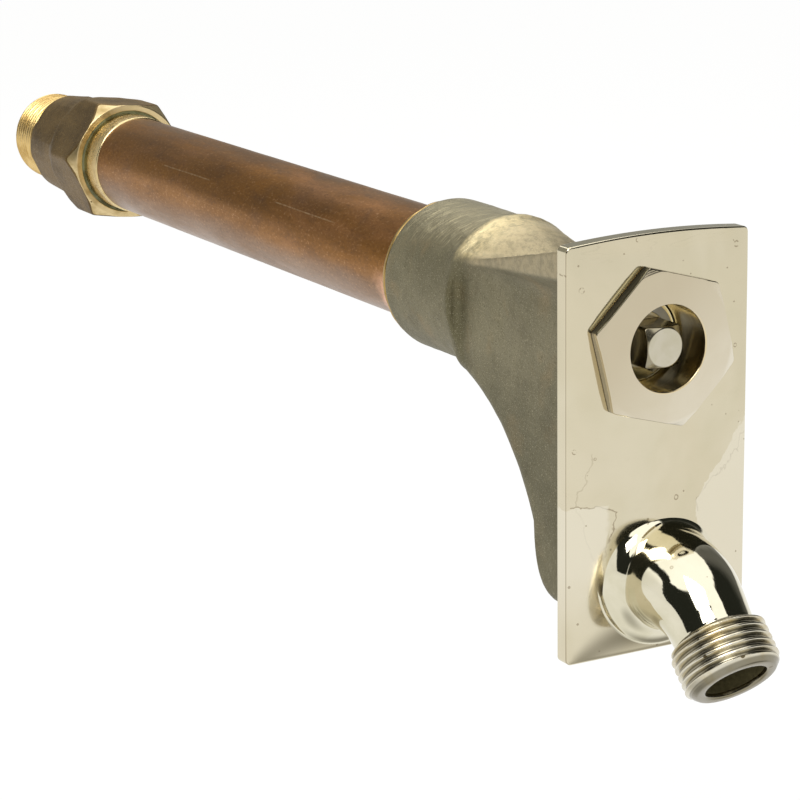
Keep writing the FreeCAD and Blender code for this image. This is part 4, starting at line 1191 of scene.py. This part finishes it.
def smooth_curve(at, places, values):
    """Monotone cubic through given places and values, level at both ends."""
    places, values = np.array(places, float), np.array(values, float)
    gaps = np.diff(places)
    slopes = np.diff(values) / gaps
    product, total = slopes[:-1] * slopes[1:], slopes[:-1] + slopes[1:]
    inner = np.where(product > 0, 2 * product / np.where(total == 0, 1, total), 0)
    tangents = np.concatenate([[0], inner, [slopes[-1]]])
    k = np.clip(np.searchsorted(places, at) - 1, 0, len(gaps) - 1)
    t = np.clip((at - places[k]) / gaps[k], 0, 1)
    return (values[k] * (1 + 2 * t) * (1 - t) ** 2 + tangents[k] * gaps[k] * t * (1 - t) ** 2
            + values[k + 1] * t ** 2 * (3 - 2 * t) + tangents[k + 1] * gaps[k] * t ** 2 * (t - 1))


# Bonnet nut and stem

def bonnet_nut():
    """Hexagon nut: low dome, turned chamfer cut by the flats, deep key hole, web and shank."""
    angles = around(504)
    flats = wrench_flats(angles, 6, nut_corner_radius, nut_vertex_angle, nut_rounding)
    chamfer = np.minimum(nut_chamfer_radius, flats - 0.22)
    dome_slope = nut_dome / (nut_chamfer_radius - key_hole_radius)
    chamfer_at = nut_front - (nut_chamfer_radius - chamfer) * dome_slope
    side_at = chamfer_at + (flats - chamfer) * math.tan(nut_chamfer_angle)
    corners = ring_rows([
        (web_front, stem_hole), (web_front, key_hole_radius), (nut_top, key_hole_radius),
        (chamfer_at, chamfer), (side_at, flats), (nut_back, flats), (nut_back, nut_shank_radius),
        (nut_shank_end, nut_shank_radius), (nut_shank_end, packing_bore), (web_back, packing_bore),
        (web_back, stem_hole)], angles)
    rows, _ = eased(corners, [0.3, 0.5, 0.35, 0.35, 0.3, 0, 0, 0.3, 0, 0, 0])
    return surface("nut_polished", turned(rows, angles), "hydrant", [nut_bronze])


def operating_stem():
    """Stem: square key end under a turned cone, journal, clip groove, collar and left-hand thread."""
    angles = around(240)
    square = wrench_flats(angles, 4, square_half * math.sqrt(2), math.radians(45), 0.7)
    tip_at = stem_front + (square - square_tip_radius) * math.tan(math.radians(35))
    groove_end = web_front - 0.06
    groove_start = groove_end - clip_groove_width
    groove_radius = journal_radius - clip_groove_depth
    corners = ring_rows([
        (stem_front, 0.05), (stem_front, square_tip_radius), (tip_at, square), (journal_start, square),
        (journal_start + 0.02, journal_radius + 0.02), (groove_start, journal_radius),
        (groove_start, groove_radius), (groove_end, groove_radius), (groove_end, journal_radius),
        (collar_front, journal_radius), (collar_front, stem_collar_radius),
        (collar_back, stem_collar_radius)], angles)
    rows, _ = eased(corners, [0, 0.3, 0.3, 0.2, 0.3, 0, 0, 0, 0, 0, 0.3, 0.3], closed=False)
    thread_at = np.linspace(collar_back + 0.02, stem_end - 0.6, 90)
    fade = np.clip((stem_end - thread_at) / 1.5, 0, 1)[:, None]
    form = thread_form(thread_at, stem_thread_lead, angles, hand=-1)
    ridge = stem_thread_root + stem_thread_depth * form * fade
    thread = ring_rows([*zip(thread_at, ridge), (stem_end, 4.6), (stem_end, 0.05)], angles)
    grid = turned(np.concatenate([rows, thread]), angles)
    return surface("stem_turned", grid, "stem", [stem_bronze], ends="poles")


# Tube, braze, adapter and coupling

def casing_tube():
    """Drawn tube: outer wall with a very slight waver, then the inner wall, closed at both ends."""
    angles = around(224)
    along = np.linspace(tube_start + 0.3, tube_end - 0.3, 140)
    outer = ring_rows([(y, tube_radius) for y in along], angles)
    waver = 0.03 * waves(turned(outer, angles) * np.array([1, 0.3, 1]), 16.0, 11)
    outer[..., 1] += np.clip(waver, -0.05, 0.0)
    bore = tube_radius - tube_wall
    inner = ring_rows([(tube_end, tube_radius - 0.3), (tube_end, bore), (tube_start, bore),
                       (tube_start, tube_radius - 0.3)], angles)
    return surface("tube_copper", turned(np.concatenate([outer, inner]), angles), "hydrant", [drawn_copper])


def braze_bead():
    """Bead of braze round the boss's end: a half-round ring whose height wanders, with a foot on the tube."""
    angles = around(224)
    wander = waves(turned(ring_rows([(boss_end, bead_radius)], angles), angles)[0], 7.0, 21)
    thick = bead_thickness * (1 + 0.12 * wander)
    middle, foot, at = bead_radius - bead_thickness, tube_radius + 0.05, boss_end + 0.2
    corners = [(at + thick * math.cos(a), middle + thick * math.sin(a)) for a in np.linspace(math.pi, 0, 13)]
    rows = ring_rows([*corners, (at + thick, foot), (at - thick, foot)], angles)
    return surface("braze_bead", turned(rows, angles), "hydrant", [braze_gold])


def tube_adapter():
    """Adapter: spigot inside the tube, a collar with fine turned grooves, the threaded end and its bore."""
    angles = around(224)
    start = tube_end - collar_overlap
    collar_at = np.linspace(start + 0.5, gasket_start - 0.3, 84)
    grooves = 0.05 * (0.5 - 0.5 * np.cos(2 * math.pi * (collar_at - start) / collar_groove_pitch))
    collar = collar_radius - grooves * (collar_at < coupling_front)
    thread_at = np.linspace(gasket_start + 0.05, adapter_end - 0.8, 64)
    ridge = adapter_thread_root + adapter_thread_depth * thread_form(thread_at, adapter_thread_pitch, angles)
    rows = ring_rows([
        (adapter_start, adapter_bore), (adapter_start, spigot_radius), (start, spigot_radius), (start, 17.3),
        (start + 0.3, 17.8), *zip(collar_at, collar), (gasket_start, 17.9), (gasket_start + 0.02, 15.2),
        *zip(thread_at, ridge), (adapter_end, 14.9), (adapter_end, adapter_bore)], angles)
    return surface("adapter_collar", turned(rows, angles), "hydrant", [collar_brass])


def inlet_coupling():
    """Coupling: hexagon cut by a chamfer and a taper, rounded neck, male thread and threaded socket."""
    angles = around(480)
    flats = wrench_flats(angles, 6, coupling_corner_radius, coupling_vertex_angle, coupling_rounding)
    neck_flats = wrench_flats(angles, 6, coupling_neck_corner, coupling_vertex_angle, coupling_rounding)
    rise = coupling_chamfer_length / (coupling_corner_radius - coupling_chamfer_radius)
    chamfer = np.minimum(coupling_chamfer_radius, flats - 0.25)
    side_at = coupling_front + (flats - chamfer) * rise
    taper = (coupling_taper_end - coupling_hexagon_end) / (coupling_corner_radius - coupling_neck_radius)
    taper_at = coupling_hexagon_end + (coupling_corner_radius - flats) * taper
    neck = np.minimum(coupling_neck_radius, neck_flats)
    neck_end = np.minimum(coupling_neck_end_radius, neck_flats)
    verdigris_at = coupling_front + verdigris_depth
    corners = ring_rows([
        (verdigris_at, verdigris_inside), (verdigris_at, coupling_groove), (coupling_front, coupling_groove),
        (coupling_front, chamfer), (side_at, flats), (taper_at, flats), (coupling_taper_end, neck),
        (coupling_neck_end - 1.0, neck_end), (coupling_neck_end, neck_end - 1.0),
        (coupling_neck_end, inlet_thread_radius - 0.9)], angles)
    rows, owners = eased(corners, [0, 0, 0.35, 0.3, 0.7, 2.5, 2.0, 0.5, 0.3, 0], closed=False)
    kinds = np.array([0, 0, 1, 1, 2, 2, 2, 2, 2, 2])[owners]
    uneven = waves(turned(rows, angles), 7.0, 31)
    rough = (kinds == 2) & (owners < 8)
    rows[..., 1] += 0.07 * uneven * rough[:, None] * (rows[..., 0] > coupling_front + 5.5)
    thread_at = np.linspace(coupling_neck_end + 0.05, inlet_end - 0.3, 126)
    form = thread_form(thread_at, inlet_thread_pitch, angles)
    ridge = inlet_thread_radius - inlet_thread_depth * (1 - form)
    ridge = np.minimum(ridge, inlet_thread_radius - 1.5 + (inlet_end - thread_at)[:, None])
    socket_at = np.linspace(inlet_end - 0.5, inlet_end - inlet_socket_depth + 1.0, 100)
    form = thread_form(socket_at, inlet_socket_pitch, angles)
    socket = inlet_socket_radius + inlet_socket_thread_depth * (1 - form)
    socket = np.maximum(socket, inlet_socket_radius + 0.9 - (inlet_end - socket_at)[:, None])
    steps = [(inlet_end - inlet_socket_depth, inlet_socket_radius), (valve_seat_end, 9.0),
             (valve_seat_end - 10.0, 11.6), (gasket_end + 11.0, 14.0), (gasket_end, 16.0)]
    bores = [steps[0]]
    for (at, _), (until, radius) in zip(steps[:-1], steps[1:]):
        bores += [(at, radius), (until, radius)]
    lip = [(inlet_end, inlet_thread_radius - 1.8), (inlet_end, inlet_socket_radius + 0.9)]
    rest = ring_rows([*zip(thread_at, ridge), *lip, *zip(socket_at, socket), *bores], angles)
    kinds = np.concatenate([kinds, np.repeat([3, 4], [len(ridge) + len(lip), len(socket) + len(bores)])])
    return surface("coupling_body", turned(np.concatenate([rows, rest]), angles), "hydrant",
                   [groove_green, chamfer_brass, rough_brass, thread_brass, inner_brass], kinds)


# Pieces

plate_piece = face_plate()
casting_piece = rough_casting()
spout_piece = hose_spout()
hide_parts("head_casting")
nut_piece = bonnet_nut()
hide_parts("bonnet_nut")
stem_piece = operating_stem()
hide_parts("operating_stem")
tube_piece = casing_tube()
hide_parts("casing_tube")
bead_piece = braze_bead()
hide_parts("front_braze_ring")
adapter_piece = tube_adapter()
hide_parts("tube_adapter")
coupling_piece = inlet_coupling()
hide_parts("inlet_coupling")

inner_finishes = {
    "bonnet_o_ring": black_rubber, "packing_rings": graphite_packing, "packing_gland": inner_brass,
    "thrust_washer": inner_brass, "stem_retaining_ring": spring_steel, "drive_nut": inner_brass,
    "coupling_guide": inner_brass, "guide_snap_ring": spring_steel, "coupling_gasket": fibre_gasket,
    "valve_seat": inner_brass, "seat_o_ring": black_rubber, "operating_rod": inner_brass,
    "rod_pins": spring_steel, "rod_guides": inner_brass, "guide_pins": spring_steel, "plunger": inner_brass,
    "seat_washer": black_rubber, "washer_retainer": inner_brass, "washer_screw": inner_brass,
}
for node_name, finish in inner_finishes.items():
    cad_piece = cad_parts[node_name]
    if len(cad_piece.material_slots) == 0:
        cad_piece.data.materials.append(finish)
    for material_slot in cad_piece.material_slots:
        material_slot.material = finish


# Camera

camera_azimuth = math.radians(-28.35)
camera_elevation = math.radians(14.47)
camera_roll = math.radians(-0.91)
camera_lens = 120.27
# Where the object's origin lies in the camera's own frame: right, up and ahead, in millimetres.
origin_seen = (66.04, 15.49, 710.35)


def make_camera():
    back = Vector((math.sin(camera_azimuth) * math.cos(camera_elevation),
                   -math.cos(camera_azimuth) * math.cos(camera_elevation), math.sin(camera_elevation)))
    level_right = (-back).cross(Vector((0, 0, 1))).normalized()
    level_up = level_right.cross(-back)
    right = math.cos(camera_roll) * level_right + math.sin(camera_roll) * level_up
    up = -math.sin(camera_roll) * level_right + math.cos(camera_roll) * level_up
    across, above, ahead = (value * MM for value in origin_seen)
    place = -right * across - up * above + back * ahead
    data = bpy.data.cameras.new("photo_camera")
    data.lens = camera_lens
    data.sensor_width = 36.0
    data.clip_start = 0.01
    data.clip_end = 50.0
    camera = bpy.data.objects.new("photo_camera", data)
    camera.matrix_world = Matrix.Translation(place) @ Matrix((right, up, back)).transposed().to_4x4()
    bpy.context.scene.collection.objects.link(camera)
    bpy.context.scene.camera = camera


make_camera()


# Studio

def make_floor():
    """Plain pale floor, white to the camera and in reflections, which still takes a soft shadow and has
    painted shadows that only reflections show.
    """
    height = cad_box[0][2] - 0.10
    size = 9.0
    painted_shadow_patches = (((0.102, -0.130), 0.054, 1.0), ((-0.040, -0.030), 0.040, 0.6))
    mesh = bpy.data.meshes.new("floor")
    corners = ((-size, -size), (size, -size), (size, size), (-size, size))
    mesh.from_pydata([(x, y, height) for x, y in corners], [], [(0, 1, 2, 3)])
    floor = bpy.data.objects.new("floor", mesh)
    bpy.context.scene.collection.objects.link(floor)
    material = bpy.data.materials.new("pale floor")
    s = empty_shader(material)
    camera, glossy, through = s.rays()
    # Painted shadows that only reflections show: soft dark patches for the object's shade on the floor near
    # the spout.
    x, y, _ = s.xyz()
    reflected_shadow = s.most(*[s.step(s.length(x - place[0], y - place[1]), radius * 2.0, radius * 0.2) * depth
                     for place, radius, depth in painted_shadow_patches]) * glossy
    paint = s.get("BsdfDiffuse", {"Color": (0.82, 0.82, 0.81, 1.0)})
    glow = s.mix(reflected_shadow, (1.0, 1.0, 0.995, 1.0), (0.22, 0.21, 0.18, 1.0))
    white = s.get("Emission", {"Color": glow, "Strength": 1.08})
    mixed = s.get("MixShader", {0: s.most(camera, glossy, through) * 0.85, 1: paint, 2: white})
    s.add("OutputMaterial", {"Surface": mixed})
    mesh.materials.append(material)


def make_world():
    """White surroundings with a dark room round the front, which only reflections show.

    The room's upper and lower borders are sums of smooth steps along the azimuth, which is 0 straight in
    front of the plate and grows to the right. All are in degrees.
    """
    world = bpy.data.worlds.new("studio")
    bpy.context.scene.world = world
    s = empty_shader(world)
    direction = s.get("TexCoord", output="Generated")
    x, y, z = s.parts(direction)
    ragged = (s.noise(9.0, 4.0, 0.6, at=direction) - 0.5) * 9.0
    azimuth = s.math("DEGREES", s.math("ARCTAN2", x, y * -1.0)) + ragged
    elevation = s.math("DEGREES", s.math("ARCSINE", z)) + ragged

    def total(value, steps):
        for amount, first, last in steps:
            value = s.step(azimuth, first, last) * amount + value
        return value

    top = total(40.0, [(-7.0, -106.0, -98.0), (25.0, -95.0, -46.0), (-20.0, -34.0, -4.0), (22.0, 24.0, 36.0)])
    foot = total(26.0, [(-34.0, -112.0, -107.0), (20.0, -80.0, -25.0), (-8.0, 60.0, 90.0)])
    room = s.step(top - elevation, -1.5, 1.5) * s.step(elevation - foot, -2.0, 2.0)
    room = room * s.step(azimuth, -136.0, -131.0) * s.step(azimuth, 150.0, 118.0)
    behind = s.step(elevation, -4.0, 4.0) * s.step(elevation, 56.0, 40.0)
    behind = s.step(abs(azimuth), 136.0, 146.0) * behind
    ceiling = s.mix(s.step(elevation, 12.0, 30.0), (1.0, 0.995, 0.98, 1.0), (1.45, 1.45, 1.43, 1.0))
    gloom = s.mix(s.step(azimuth, 84.0, 112.0), (0.02, 0.022, 0.018, 1.0), (0.14, 0.14, 0.13, 1.0))
    reflected = s.layers(ceiling, (behind, (0.34, 0.34, 0.31, 1.0)), (room, gloom))
    camera, glossy, through = s.rays()
    mirrored = s.most(glossy, through)
    shown = s.mix(mirrored, (1.0, 1.0, 1.0, 1.0), reflected)
    strength = s.blend(s.most(camera, mirrored), 0.55, 1.0)
    s.add("OutputWorld", {"Surface": s.get("Background", {"Color": shown, "Strength": strength})})


def make_lamp(name, place, aim, width, height, power, colour=(1.0, 1.0, 1.0)):
    data = bpy.data.lights.new(name, "AREA")
    data.shape = "RECTANGLE"
    data.size = width
    data.size_y = height
    data.energy = power
    data.color = colour
    lamp = bpy.data.objects.new(name, data)
    lamp.location = place
    lamp.rotation_euler = (Vector(aim) - Vector(place)).to_track_quat("-Z", "Y").to_euler()
    bpy.context.scene.collection.objects.link(lamp)


make_floor()
make_world()
make_lamp("key_softbox", (-0.75, -0.65, 1.15), (0.0, 0.05, -0.02), 0.8, 0.8, 14.0)
make_lamp("back_softbox", (0.35, 0.95, 1.05), (0.0, 0.1, 0.0), 1.0, 0.6, 3.5)

bpy.context.scene.view_settings.view_transform = "Standard"
